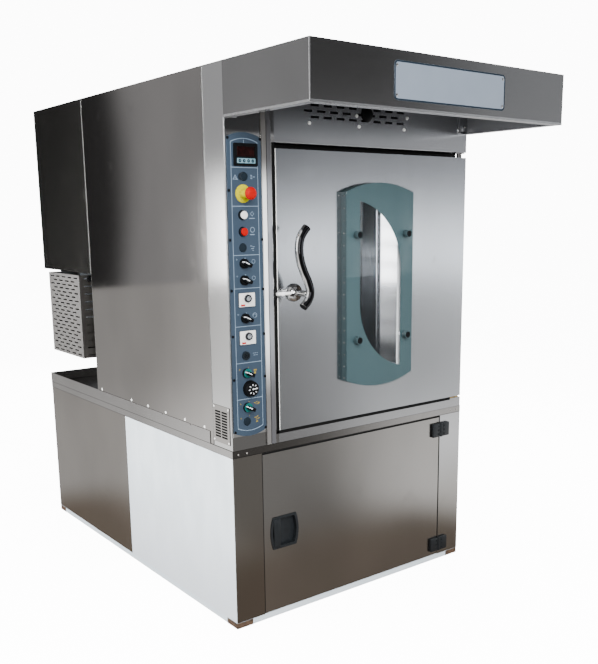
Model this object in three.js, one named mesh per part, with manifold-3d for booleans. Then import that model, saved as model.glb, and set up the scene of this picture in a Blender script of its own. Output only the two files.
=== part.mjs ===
// Rotating rack oven: a free-standing bakery oven on a storage base. Trays ride on a rack that turns on a
// driven table inside an insulated chamber; a fan in the rear housing blows hot air through the side duct.
// Millimetres, +Z up, the front faces -Y. Inside the group x runs from the left side, y from the front face
// of the casing towards the back, and z from the floor. The group centres the whole oven on x and y.

import * as THREE from 'three';
import { mergeVertices } from 'three/addons/utils/BufferGeometryUtils.js';
import Module from 'manifold-3d';

const wasm = await Module();
wasm.setup();

// ---- Driving sizes ----

// Whole oven
const width = 1160;
const baseDepth = 1690;
const bodyDepth = 1128;
const baseHeight = 674;
const totalHeight = 1973;
const sheet = 2;
const hem = 16;                 // depth of the folded edges of the casing panels
const gap = 0.3;                // between pieces that touch
const running = 0.3;            // around what turns or slides in a hole
const roundSides = 16;

// Base cabinet
const plinthHeight = 24;
const plinthInset = 3;
const plinthWall = 20;
const footLength = 70;
const footWall = 1.7;
const railHeight = 27;
const rimHeight = 46;
const rimStart = 150;
const rimNotches = [289, 513, 739, 964];
const rimNotchSide = 9;
const panelInset = 1;
const angle = 40;
const angleWall = 3;
const weld = 0.5;
const leftPanelSeam = 857;
const stripWidth = 123;         // front strip left of the base door
const baseDoorTop = 641;
const baseDoorBottom = 27;
const baseDoorThick = 20;
const baseDoorGap = 3;
const baseHingeFromRight = 125.5;
const baseSeatLip = 40;
const pullFromStrip = 95;
const pullHeight = 330;
const pullWidth = 98;
const pullTall = 118;
const pullBulge = 11;
const pullDepth = 17;

// Black block hinges of the base door
const blockTall = 80;
const blockLeaf = 44;
const blockWing = 50;
const blockThick = 12;
const knuckleRadius = 7;
const knucklePin = 3.5;
const blockFromTop = 51;
const blockFromBottom = 48;

// Oven casing
const columnWidth = 198;
const columnDepth = 128;
const doorSeatDepth = 62;
const sillTop = 712;
const lintelTall = 245;
const lintelBottom = totalHeight - lintelTall;
const lintelSlotLength = 36;
const lintelSlotHeight = 8;
const lintelSlotPitch = 58.5;
const lintelSlotStart = 129;
const lintelSlotCount = 8;
const lintelSlotDrops = [113, 133, 153];   // from the top of the oven
const trimRise = 6;
const trimWidth = 17;
const trimFromLeft = [145.5, 166];
const trimBottom = 676;
const keeperTall = 30;

// Louvre vent in the left side of the column
const ventFront = 15;
const ventWidth = 109;
const ventBottom = 692;
const ventTall = 135;
const ventThick = 1.7;
const ventRows = 10;
const ventPitch = 10;
const ventSlotTall = 4;
const ventSlotLong = 37;

// Baking chamber
const wall = 44;
const chamberBottom = 772;
const overChamber = 301;
const chamberTop = totalHeight - overChamber;
const throatLeft = 262;
const bearerWidth = 60;
const bearersFromFront = [210, 480];
const bearersFromBack = [328, 138];
const ductX = 200;
const ductSlotRows = 8;
const ductSlotColumns = 4;
const ductSlotLong = 130;
const ductSlotTall = 16;
const portAboveRearBottom = 72;
const supplyPort = { left: 76, right: 190, underTop: 72 };
const returnPort = { left: 430, right: 900, underTop: 32 };

// Turning rack and its drive
const rackBehindMiddle = 63;
const rackY = bodyDepth / 2 + rackBehindMiddle;
const rackWidth = 450;
const rackLong = 620;
const rackTube = 20;
const overRack = 32;
const rackTop = chamberTop - overRack;
const firstLevel = 900;
const levelPitch = 88;
const slideLeg = 20;
const rackLevels = 1 + Math.floor((rackTop - rackTube - slideLeg - firstLevel) / levelPitch);
const tableRadius = 240;
const tableThick = 6;
const tableHub = 40;
const tableClear = 28;
const spindleRadius = 17;
const spindleLong = 90;
const bearingRadius = 42;
const gearboxWidth = 150;
const gearboxTall = 120;
const driveMotorRadius = 58;
const driveMotorLong = 210;
const driveFlange = { x: 300, y: 250, thick: 6 };
const crossRailOffset = 95;

// Rear housing with fan, motor and heating elements
const rearBack = 1685;
const rearBottom = 1238;
const rearWall = 3;
const rearFlange = 25;
const coverFront = 1264;
const coverBack = 1631;
const coverWidth = 330;
const coverBottom = 843;
const coverTop = 1224;
const slotLong = 42;
const slotTall = 6;
const slotPitch = 70;
const slotRowPitch = 17.6;
const slotRows = 21;
const fanRadius = 118;
const fanTall = 110;
const fanBlades = 10;
const fanShaft = 12;
const motorRadius = 84;
const motorLong = 240;
const elementRadius = 6;
const elementReach = 360;
const elementBend = 34;
const elementCount = 3;
const elementPitch = 112;
const elementFromFan = 120;
const elementUp = 80;
const elementPlate = { half: 30, thick: 5 };
const motorBox = { drop: 60, tall: 90, half: 45, reach: 34 };

// Hood
const hoodDepth = 460;
const hoodTall = 175;
const hoodBottom = totalHeight - hoodTall;
const hoodLip = 30;
const hoodFlange = 50;
const nameplate = { width: 511, tall: 117, aboveHem: 28, thick: 1.7, corner: 15 };

// Control panel on the column, with the controls' places from the left side and their heights above the
// lower corners of a panel as tall as panelLayout
const panelLeft = 8;
const panelRight = 144;
const panelCornerBottom = 739;
const panelFromTop = 236;
const panelCornerTop = totalHeight - panelFromTop;
const panelLayout = 998;
const panelArch = 17;
const panelThick = 3;
const controller = { x: 76, z: upPanel(943), side: 72, body: 66, deep: 60, rise: 8 };
const estop = { x: 68, z: upPanel(817), collar: 30, neck: 14.5, neckOut: 21.5, head: 20, reach: 46 };
const startZ = upPanel(747);
const stopZ = upPanel(692);
const buttonX = 64;
const buttonRadius = 11;
const bezelRadius = 14.5;
const bezelRise = 6;
const selectorTurn = 1.1;
const selectorHeights = { selector_lamp: upPanel(586), selector_steam: upPanel(530),
  selector_fan: upPanel(400), selector_rack: upPanel(209), selector_power: upPanel(87) };
const timerX = 70;
const timerHeights = { timer_bake: upPanel(463), timer_steam: upPanel(333) };
const timerSide = 48;
const timerBody = 44;
const timerDialRadius = 12;
const timerDialRise = 5;
const programDial = { x: 77, z: upPanel(153), radius: 30, grip: 25, shaft: 7, tall: 20 };
const plugHeights = [upPanel(873), upPanel(639), upPanel(36)];
const plugRadius = 13;
const buzzer = { x: 64, z: upPanel(270), radius: 15 };
const controlDepth = 20;

function upPanel(height) {
  return panelCornerBottom + height * (panelCornerTop - panelCornerBottom) / panelLayout;
}

// Oven door
const doorUnderLintel = 20;
const doorTop = lintelBottom - doorUnderLintel;
const doorBottom = 719;
const doorThick = 43;
const doorClear = 6;             // between the column and the door's free edge
const hingeFromRight = 30;
const hingeY = 12;
const hingePin = 6;
const hingePlate = { x: 56, y: 22, thick: 4 };
const gasketWide = 14;
const gasketFromThroat = 10;
const glassCentre = 666;
const glassWidth = 340;
const glassAboveDoorBottom = 148;
const glassUnderDoorTop = 141;
const glassCornerBottom = doorBottom + glassAboveDoorBottom;
const glassCornerTop = doorTop - glassUnderDoorTop;
const glassArch = 35;
const glassThick = 6;
const glassStandoff = 28;
const viewWidth = 224;
const viewAboveCorner = 21;
const viewUnderCorner = 22;
const viewBottom = glassCornerBottom + viewAboveCorner;
const viewTop = glassCornerTop - viewUnderCorner;
const studX = 124;
const studAboveCorner = 154;
const studUnderCorner = 155;
const studHeights = [glassCornerBottom + studAboveCorner, glassCornerTop - studUnderCorner];
const studRadius = 6;
const studCap = 14;
const studCapLong = 20;
const paneThick = 4;
const paneLap = 10;
const sleeveBack = 120;          // the sleeve behind the view reaches into the throat, its pane at the far end

// Door handle and latch
const handleX = 275;
const handleZ = 1214;
const handleOut = 90;
const handleBar = 12.5;
const spindle = 8;
const rosetteRadius = 33;
const rosetteOut = 24;
const latchRadius = 6;
const latchOut = 14;
const latchTravel = 14;
const handleCurve = [[-7, 229], [-38, 188], [-40, 145], [-27, 92], [-4, 45], [6, 12], [-4, -22], [-26, -43]];

// ---- Shapes and solids ----

// Turns a closed three.js geometry into a solid that can be joined and cut. Its corners are set to whole
// thousandths of a millimetre, so faces that should lie in one plane do.
function solid(geometry) {
  let closed = geometry.clone();
  closed.deleteAttribute('normal');
  closed.deleteAttribute('uv');
  closed = mergeVertices(closed, 1e-4);
  const snapped = Float32Array.from(closed.attributes.position.array, (value) => Math.round(value * 1000) / 1000);
  return new wasm.Manifold(new wasm.Mesh({
    numProp: 3,
    vertProperties: snapped,
    triVerts: new Uint32Array(closed.index.array),
  }));
}

function join(...pieces) {
  return pieces.flat().reduce((whole, piece) => whole.add(piece));
}

function cut(whole, ...tools) {
  return tools.flat().reduce((rest, tool) => rest.subtract(tool), whole);
}

function box(x0, x1, y0, y1, z0, z1) {
  const geometry = new THREE.BoxGeometry(x1 - x0, y1 - y0, z1 - z0);
  geometry.translate((x0 + x1) / 2, (y0 + y1) / 2, (z0 + z1) / 2);
  return solid(geometry);
}

// A box with one open side, or any frame of walls: the outer box less a smaller one.
function hollow(outer, inner) {
  return cut(box(...outer), box(...inner));
}

const alongY = new THREE.Matrix4().makeBasis(
  new THREE.Vector3(1, 0, 0), new THREE.Vector3(0, 0, 1), new THREE.Vector3(0, -1, 0));

// A plate cut from an outline in x and z, facing the front.
function frontPlate(shape, y0, y1, curveSegments = 5) {
  const geometry = new THREE.ExtrudeGeometry(shape, { depth: y1 - y0, bevelEnabled: false, curveSegments });
  geometry.applyMatrix4(alongY);
  geometry.translate(0, y1, 0);
  return solid(geometry);
}

function roundedRectangle(x0, x1, z0, z1, radius) {
  const shape = new THREE.Shape();
  shape.moveTo(x0 + radius, z0);
  shape.lineTo(x1 - radius, z0);
  shape.absarc(x1 - radius, z0 + radius, radius, -Math.PI / 2, 0);
  shape.lineTo(x1, z1 - radius);
  shape.absarc(x1 - radius, z1 - radius, radius, 0, Math.PI / 2);
  shape.lineTo(x0 + radius, z1);
  shape.absarc(x0 + radius, z1 - radius, radius, Math.PI / 2, Math.PI);
  shape.lineTo(x0, z0 + radius);
  shape.absarc(x0 + radius, z0 + radius, radius, Math.PI, Math.PI * 1.5);
  return shape;
}

// An upright plate whose top and bottom edges are shallow arcs, bowed outwards by arch.
function archedPlate(x0, x1, z0, z1, arch) {
  const centre = (x0 + x1) / 2;
  const half = (x1 - x0) / 2;
  const radius = (half * half + arch * arch) / (2 * arch);
  const swing = Math.asin(half / radius);
  const shape = new THREE.Shape();
  shape.moveTo(x0, z0);
  shape.absarc(centre, z0 - arch + radius, radius, -Math.PI / 2 - swing, -Math.PI / 2 + swing);
  shape.lineTo(x1, z1);
  shape.absarc(centre, z1 + arch - radius, radius, Math.PI / 2 - swing, Math.PI / 2 + swing);
  shape.closePath();
  return shape;
}

function disc(radius, length, sides = roundSides) {
  return new THREE.CylinderGeometry(radius, radius, length, sides);
}

// Round bars between two values along one axis.
function barX(radius, x0, x1, y, z, sides) {
  const geometry = disc(radius, x1 - x0, sides);
  geometry.rotateZ(-Math.PI / 2);
  geometry.translate((x0 + x1) / 2, y, z);
  return solid(geometry);
}

function barY(radius, y0, y1, x, z, sides) {
  const geometry = disc(radius, y1 - y0, sides);
  geometry.translate(x, (y0 + y1) / 2, z);
  return solid(geometry);
}

function barZ(radius, z0, z1, x, y, sides) {
  const geometry = disc(radius, z1 - z0, sides);
  geometry.rotateX(Math.PI / 2);
  geometry.translate(x, y, (z0 + z1) / 2);
  return solid(geometry);
}

// A turned piece: profile points are [radius, distance along the axis], closed on the axis.
function turned(profile, sides = roundSides) {
  return new THREE.LatheGeometry(profile.map(([r, h]) => new THREE.Vector2(r, h)), sides);
}

// A turned piece that stands out of the front: distance counts towards the viewer from y.
function turnedFront(profile, x, y, z, sides) {
  const geometry = turned(profile, sides);
  geometry.rotateZ(Math.PI);
  geometry.translate(x, y, z);
  return solid(geometry);
}

// Rows of slots as [start, end, low, high], every second row moved by half a pitch.
function slotRowsOf(across, up, rows, rowPitch, pitch, long, tall, margin) {
  const slots = [];
  for (let row = 0; row < rows; row += 1) {
    const shift = row % 2 === 0 ? 0 : pitch / 2;
    const middle = up + (row + 0.5) * rowPitch;
    for (let start = across[0] + margin + shift; start + long <= across[1] - margin + 0.01; start += pitch) {
      slots.push([start, start + long, middle - tall / 2, middle + tall / 2]);
    }
  }
  return slots;
}

// Sheets with slots cut through them, standing across the side (x0 to x1) or across the front (y0 to y1).
function slottedSide(x0, x1, y0, y1, z0, z1, slots) {
  return cut(box(x0, x1, y0, y1, z0, z1), slots.map(([a, b, low, high]) => box(x0 - 1, x1 + 1, a, b, low, high)));
}

function slottedFront(x0, x1, y0, y1, z0, z1, slots) {
  return cut(box(x0, x1, y0, y1, z0, z1), slots.map(([a, b, low, high]) => box(a, b, y0 - 1, y1 + 1, low, high)));
}

const oven = new THREE.Group();
const finish = {
  steel: { color: 0x9a958f, roughness: 0.32, metalness: 0.9 },
  doorSteel: { color: 0x9fa3a9, roughness: 0.35, metalness: 0.85 },
  darkSteel: { color: 0x6d6965, roughness: 0.35, metalness: 0.85 },
  galvanised: { color: 0x8d9092, roughness: 0.5, metalness: 0.7 },
  film: { color: 0xe6edf0, roughness: 0.5, metalness: 0.0 },
  paleFilm: { color: 0xcfdce2, roughness: 0.5, metalness: 0.0 },
  chrome: { color: 0xd9d9d6, roughness: 0.08, metalness: 1.0 },
  black: { color: 0x17191b, roughness: 0.5, metalness: 0.0 },
  panelBlue: { color: 0x5b6d7d, roughness: 0.55, metalness: 0.0 },
  red: { color: 0xc41a17, roughness: 0.35, metalness: 0.0 },
  yellow: { color: 0xf0c419, roughness: 0.4, metalness: 0.0 },
  white: { color: 0xeeeeea, roughness: 0.4, metalness: 0.0 },
  green: { color: 0x0d8d80, roughness: 0.4, metalness: 0.0 },
  glassPrint: { color: 0x566b70, roughness: 0.1, metalness: 0.0 },
  glass: { color: 0xb9c8c8, roughness: 0.05, metalness: 0.0 },
  seal: { color: 0x1d1c1b, roughness: 0.8, metalness: 0.0 },
  brass: { color: 0xb08b45, roughness: 0.35, metalness: 1.0 },
  motorGrey: { color: 0x5f6468, roughness: 0.55, metalness: 0.3 },
  enamel: { color: 0x3d3a38, roughness: 0.5, metalness: 0.4 },
};

function add(name, piece, look) {
  const made = piece.getMesh();
  const geometry = new THREE.BufferGeometry();
  geometry.setAttribute('position', new THREE.BufferAttribute(new Float32Array(made.vertProperties), 3));
  geometry.setIndex(new THREE.BufferAttribute(new Uint32Array(made.triVerts), 1));
  const mesh = new THREE.Mesh(geometry, new THREE.MeshStandardMaterial(finish[look]));
  mesh.name = name;
  oven.add(mesh);
}

// ---- Values that several pieces share ----

const bodyInset = sheet + gap;
const bodyRight = width - bodyInset;
const bodyFloor = baseHeight + gap;
const casingTop = totalHeight - sheet - gap;
const frameInset = panelInset + hem + gap;
const panelBottom = plinthHeight + gap;
const panelTop = baseHeight - railHeight - gap;
const frameFront = baseDoorThick + 2 * sheet + gap;
const frameTop = baseHeight - sheet - gap;
const baseHingeX = width - baseHingeFromRight;
const baseHingeY = -(knuckleRadius + 2);
const portalLeft = columnWidth + bodyInset + gap;
const casingBack = bodyDepth - sheet - gap;
const chamberLeft = bodyInset + hem + wall;
const chamberRight = width - chamberLeft;
const chamberFront = columnDepth + wall + 10;
const chamberBack = casingBack - wall - 10;
const throatRight = chamberRight;
const rackX = (ductX + sheet + chamberRight) / 2;
const seatPlateBack = doorSeatDepth + sheet;
const tableTop = chamberBottom + tableClear + tableThick;
const doorLeft = columnWidth + doorClear;
const doorHingeX = width - bodyInset - hingeFromRight;
const doorHingeMouth = hingePin + running;
const rearFront = bodyDepth + gap;
const coverLeft = bodyInset;
const fanX = coverLeft + coverWidth / 2;
const fanY = (coverFront + coverBack) / 2;
const rearFloor = rearBottom + rearWall;
const portBottom = rearBottom + portAboveRearBottom;
const motorTop = rearBottom - gap;
const hoodFront = -hoodDepth;
const panelFace = -(panelThick + gap);
const onPanel = panelFace - gap;
const glassBack = -glassStandoff;
const glassFront = glassBack - glassThick;
const panBack = doorThick + gap + sheet;

// ---- Base cabinet ----

// The plinth is a ring of strip on the floor, with an angled foot plate round each corner.
function plinth() {
  const ring = hollow(
    [plinthInset, width - plinthInset, plinthInset, baseDepth - plinthInset, 0, plinthHeight],
    [plinthInset + plinthWall, width - plinthInset - plinthWall,
      plinthInset + plinthWall, baseDepth - plinthInset - plinthWall, -1, plinthHeight + 1]);
  const low = plinthInset - footWall;
  const feet = [];
  for (const atRight of [false, true]) {
    for (const atBack of [false, true]) {
      const x0 = atRight ? width - low - footLength : low;
      const y0 = atBack ? baseDepth - low - footLength : low;
      feet.push(cut(
        box(x0, x0 + footLength, y0, y0 + footLength, 0, plinthHeight - 1),
        box(plinthInset + 1, width - plinthInset - 1, plinthInset + 1, baseDepth - plinthInset - 1,
          -1, plinthHeight + 1)));
    }
  }
  add('plinth', join(ring, feet), 'paleFilm');
}

// Welded frame of angle section with the cabinet floor on its lower rails. Each member is let into the next
// by a little more than the one before, so no two of their faces share a plane.
function baseFrame() {
  const left = frameInset;
  const right = width - frameInset;
  const back = baseDepth - frameInset;
  const posts = [];
  for (const atRight of [false, true]) {
    for (const y of [frameFront, leftPanelSeam - angle / 2, back - angle]) {
      const x = atRight ? right - angle : left;
      const webX = atRight ? right - angleWall - 1.6 * weld : left + 1.6 * weld;
      const webY = y === back - angle ? back - angleWall - 1.6 * weld : y + 1.6 * weld;
      posts.push(box(x + weld, x + angle - weld, webY, webY + angleWall, panelBottom + weld, frameTop - weld));
      posts.push(box(webX, webX + angleWall, y + weld, y + angle - weld, panelBottom + weld, frameTop - weld));
    }
  }
  const rails = [[panelBottom, panelBottom], [frameTop - angle, frameTop - angleWall]].map(([z, flat]) => join(
    hollow([left, right, frameFront, back, z, z + angle],
      [left + angleWall, right - angleWall, frameFront + angleWall, back - angleWall, z - 1, z + angle + 1]),
    hollow([left, right, frameFront, back, flat, flat + angleWall],
      [left + angle, right - angle, frameFront + angle, back - angle, flat - 1, flat + angleWall + 1])));
  const crossRails = [-1, 1].map((side) => {
    const y = rackY + side * crossRailOffset;
    return join(
      box(left + 2 * weld, right - 2 * weld, y - angle / 2, y + angle / 2,
        frameTop - angleWall - weld, frameTop - weld),
      box(left + 3 * weld, right - 3 * weld, y - angleWall / 2, y + angleWall / 2,
        frameTop - angle + weld, frameTop - 2 * weld));
  });
  const floorPan = box(left + 3 * weld, right - 3 * weld, frameFront + 3 * weld, back - 3 * weld,
    panelBottom + angleWall - weld, panelBottom + angleWall + sheet - weld);
  add('base_frame', join(posts, rails, crossRails, floorPan), 'galvanised');
}

// The deck is a folded tray upside down, with a rim that stands up round the sides and the back.
function baseDeck() {
  const tray = hollow([0, width, 0, baseDepth, baseHeight - railHeight, baseHeight],
    [sheet, width - sheet, sheet, baseDepth - sheet, baseHeight - railHeight - 1, baseHeight - sheet]);
  const rim = hollow([0, width, rimStart, baseDepth, baseHeight - 1, baseHeight + rimHeight],
    [sheet, width - sheet, rimStart - 1, baseDepth - sheet, baseHeight - 2, baseHeight + rimHeight + 1]);
  const driveHole = barZ(bearingRadius + 6, baseHeight - 10, baseHeight + 10, rackX, rackY);
  const notches = rimNotches.map((y) => {
    const notch = new THREE.BoxGeometry(width + 2, rimNotchSide, rimNotchSide);
    notch.rotateX(Math.PI / 4);
    notch.translate(width / 2, y, baseHeight + rimHeight);
    return solid(notch);
  });
  add('base_deck', cut(join(tray, rim), driveHole, notches), 'steel');
}

// A flat side sheet with its edges folded inwards; towards is +1 when the inside lies at larger x.
function foldedSide(x, y0, y1, z0, z1, towards) {
  const inner = x + towards * sheet;
  const fold = x + towards * hem;
  const skin = box(Math.min(x, fold), Math.max(x, fold), y0, y1, z0, z1);
  const space = box(Math.min(inner, fold + towards), Math.max(inner, fold + towards),
    y0 + sheet, y1 - sheet, z0 + sheet, z1 - sheet);
  return cut(skin, space);
}

function basePanels() {
  const frontEdge = sheet + gap;
  const backEdge = baseDepth - panelInset - sheet - gap;
  add('base_panel_left_front',
    foldedSide(panelInset, frontEdge, leftPanelSeam - gap / 2, panelBottom, panelTop, 1), 'film');
  add('base_panel_left_rear',
    foldedSide(panelInset, leftPanelSeam + gap / 2, backEdge, panelBottom, panelTop, 1), 'steel');
  add('base_panel_right',
    foldedSide(width - panelInset, frontEdge, backEdge, panelBottom, panelTop, -1), 'steel');
  const back = baseDepth - panelInset;
  const backPan = cut(
    join(
      box(panelInset, width - panelInset, back - sheet, back, panelBottom, panelTop),
      box(frameInset, width - frameInset, back - hem, back, panelBottom, panelTop)),
    box(frameInset + sheet, width - frameInset - sheet, back - hem - 1, back - sheet,
      panelBottom + sheet, panelTop - sheet));
  add('base_panel_back', backPan, 'steel');
}

// Front of the base: a strip each side of the door, and the recessed frame that the door closes on.
function baseFrontFrame() {
  const openLeft = stripWidth;
  const openRight = baseHingeX + baseDoorGap / 2;
  const openTop = baseDoorTop + 1;
  const face = cut(box(panelInset, width - panelInset, 0, sheet, panelBottom, panelTop),
    box(openLeft, openRight, -1, sheet + 1, 0, openTop));
  const reveal = cut(
    box(openLeft - sheet, openRight + sheet, 0, frameFront - gap, panelBottom, openTop + sheet),
    box(openLeft, openRight, -1, frameFront, 0, openTop));
  const seat = cut(
    box(openLeft - sheet, openRight + sheet, baseDoorThick + sheet, frameFront - gap, panelBottom, openTop + sheet),
    box(openLeft + baseSeatLip, openRight - baseSeatLip, 0, frameFront + 1,
      panelBottom + angle + 8, openTop - baseSeatLip));
  add('base_front_frame', join(face, reveal, seat), 'darkSteel');
}

const baseDoorLeft = stripWidth + baseDoorGap;
const baseDoorRight = baseHingeX - baseDoorGap / 2;
const pullX = stripWidth + pullFromStrip;

// The outline of the pull bows outwards at both sides.
function pullOutline(grow) {
  const half = pullWidth / 2 + grow;
  const tall = pullTall / 2 + grow;
  const shape = new THREE.Shape();
  shape.moveTo(pullX - half, pullHeight - tall);
  shape.lineTo(pullX + half, pullHeight - tall);
  shape.quadraticCurveTo(pullX + half + 2 * pullBulge, pullHeight, pullX + half, pullHeight + tall);
  shape.lineTo(pullX - half, pullHeight + tall);
  shape.quadraticCurveTo(pullX - half - 2 * pullBulge, pullHeight, pullX - half, pullHeight - tall);
  return shape;
}

function baseDoor() {
  const skin = hollow(
    [baseDoorLeft, baseDoorRight, 0, baseDoorThick, baseDoorBottom, baseDoorTop - baseDoorGap / 2],
    [baseDoorLeft + sheet, baseDoorRight - sheet, sheet, baseDoorThick + 1,
      baseDoorBottom + sheet, baseDoorTop - baseDoorGap / 2 - sheet]);
  const lip = cut(
    box(baseDoorLeft, baseDoorRight, baseDoorThick - sheet, baseDoorThick, baseDoorBottom,
      baseDoorTop - baseDoorGap / 2),
    box(baseDoorLeft + hem, baseDoorRight - hem, 0, baseDoorThick + 1,
      baseDoorBottom + hem, baseDoorTop - baseDoorGap / 2 - hem));
  const stiffenerX = (pullX + pullWidth + baseDoorRight) / 2;
  const stiffener = box(stiffenerX, stiffenerX + 2 * hem, sheet - 0.5, baseDoorThick - sheet,
    baseDoorBottom + 1, baseDoorTop - baseDoorGap / 2 - 1);
  const pullHole = frontPlate(pullOutline(-3), -1, sheet + 1);
  add('base_door', cut(join(skin, lip, stiffener), pullHole), 'darkSteel');

  const flange = frontPlate(pullOutline(4), -gap - 2.5, -gap);
  const cup = frontPlate(pullOutline(-3 - gap), -1, pullDepth);
  const recess = frontPlate(pullOutline(-3 - gap - 2), -4, pullDepth - 2);
  const fingerLip = box(pullX - pullWidth / 2 - 1, pullX - pullWidth / 2 + 26, -gap - 2.5, -gap,
    pullHeight - pullTall / 2 - 1, pullHeight + pullTall / 2 + 1);
  add('base_door_pull', join(cut(join(flange, cup), recess), fingerLip), 'black');
}

// Each block hinge: a leaf on the frame with the middle knuckle, and a wing on the door with the outer
// knuckles and the pin through them.
function blockHinge(name, z0) {
  const third = blockTall / 3;
  const frontY = -gap - blockThick;
  const z1 = z0 + blockTall;
  const leafPlate = box(baseHingeX + knuckleRadius + 1, baseHingeX + knuckleRadius + 1 + blockLeaf,
    frontY + 3, -gap, z0, z1);
  const leafArm = box(baseHingeX, baseHingeX + knuckleRadius + 3, baseHingeY - 3, baseHingeY + 3,
    z0 + third + gap, z1 - third - gap);
  const leafKnuckle = barZ(knuckleRadius, z0 + third + gap, z1 - third - gap, baseHingeX, baseHingeY);
  const pinHole = barZ(knucklePin + running, z0 - 1, z1 + 1, baseHingeX, baseHingeY, 16);
  add(`${name}_leaf`, cut(join(leafPlate, leafArm, leafKnuckle), pinHole), 'black');

  const wingPlate = box(baseHingeX - knuckleRadius - 1 - blockWing, baseHingeX - knuckleRadius - 1,
    frontY + 3, -gap, z0, z1);
  const knuckles = [[z0, z0 + third], [z1 - third, z1]].map(([low, high]) => join(
    barZ(knuckleRadius, low, high, baseHingeX, baseHingeY),
    box(baseHingeX - knuckleRadius - 3, baseHingeX, baseHingeY - 3, baseHingeY + 3, low, high)));
  const pin = barZ(knucklePin, z0 + 1, z1 - 1, baseHingeX, baseHingeY, 16);
  add(`${name}_wing`, join(wingPlate, knuckles, pin), 'black');
}

// ---- Oven casing ----

function sidePanels() {
  add('side_panel_left',
    foldedSide(bodyInset, columnDepth + gap, casingBack, bodyFloor, casingTop, 1), 'steel');
  add('side_panel_right',
    foldedSide(bodyRight, seatPlateBack + gap, casingBack, bodyFloor, casingTop, -1), 'steel');
  add('top_panel', box(bodyInset, bodyRight, 0, bodyDepth, totalHeight - sheet, totalHeight), 'steel');
  const ports = [supplyPort, returnPort].map((port) =>
    box(port.left, port.right, bodyDepth - 10, bodyDepth + 10, portBottom, chamberTop - port.underTop));
  add('back_panel', cut(
    box(bodyInset, bodyRight, bodyDepth - sheet, bodyDepth, bodyFloor, casingTop), ports), 'steel');
}

// The column at the front left holds the controls. Two bright strips run down its face beside the door, and
// the latch rests on a small keeper block at its edge.
function controlColumn() {
  const right = columnWidth + bodyInset;
  const walls = hollow([bodyInset, right, 0, columnDepth, bodyFloor, casingTop],
    [bodyInset + sheet, right - sheet, sheet, columnDepth + 1, bodyFloor - 1, casingTop + 1]);
  const trims = trimFromLeft.map((x) => box(x, x + trimWidth, -trimRise, 1, trimBottom, hoodBottom - gap));
  const keeper = box(right - 12, right, -(latchOut - latchRadius - gap), 1,
    handleZ - keeperTall / 2, handleZ + keeperTall / 2);
  const controlsOpening = box(panelLeft + 14, panelRight - 10, -1, sheet + 1,
    panelCornerBottom + 12, panelCornerTop - 12);
  const ventOpening = box(0, bodyInset + sheet + 1, ventFront + 8, ventFront + ventWidth - 8,
    ventBottom + 12, ventBottom + ventTall - 12);
  add('control_column', cut(join(cut(walls, controlsOpening, ventOpening), trims, keeper)), 'steel');
}

function ventPlate() {
  const middle = ventFront + ventWidth / 2;
  const slots = [];
  for (let row = 0; row < ventRows; row += 1) {
    const z = ventBottom + ventTall / 2 + (row - (ventRows - 1) / 2) * ventPitch;
    for (const start of [middle - ventSlotLong - 3, middle + 3]) {
      slots.push([start, start + ventSlotLong, z - ventSlotTall / 2, z + ventSlotTall / 2]);
    }
  }
  const outer = bodyInset - gap - ventThick;
  add('vent_plate', slottedSide(outer, outer + ventThick, ventFront, ventFront + ventWidth,
    ventBottom, ventBottom + ventTall, slots), 'steel');
}

// The portal round the door: slotted lintel under the hood, sill, and the plate that the seal closes on.
function frontFrame() {
  const slots = [];
  lintelSlotDrops.forEach((drop, row) => {
    const z = totalHeight - drop;
    const start = portalLeft + lintelSlotStart + (row === 1 ? 0 : lintelSlotPitch / 2);
    for (let slot = 0; slot < lintelSlotCount; slot += 1) {
      const x = start + slot * lintelSlotPitch;
      slots.push([x, x + lintelSlotLength, z - lintelSlotHeight / 2, z + lintelSlotHeight / 2]);
    }
  });
  const lintel = slottedFront(portalLeft, bodyRight, 0, sheet, lintelBottom, casingTop, slots);
  const soffit = box(portalLeft, bodyRight, 0, seatPlateBack, lintelBottom, lintelBottom + sheet);
  const sill = box(portalLeft, bodyRight, 0, sheet, bodyFloor, sillTop);
  const ledge = box(portalLeft, bodyRight, 0, seatPlateBack, sillTop - sheet, sillTop);
  const cheeks = [[bodyFloor, sillTop], [lintelBottom, casingTop]].map(([low, high]) =>
    box(bodyRight - sheet, bodyRight, 0, seatPlateBack, low, high));
  const seat = cut(
    box(portalLeft, bodyRight, doorSeatDepth, seatPlateBack, bodyFloor, casingTop),
    box(throatLeft, throatRight, 0, seatPlateBack + 1, chamberBottom, chamberTop));
  add('front_frame', join(lintel, soffit, sill, ledge, cheeks, seat), 'steel');
}

// ---- Baking chamber ----

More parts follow.
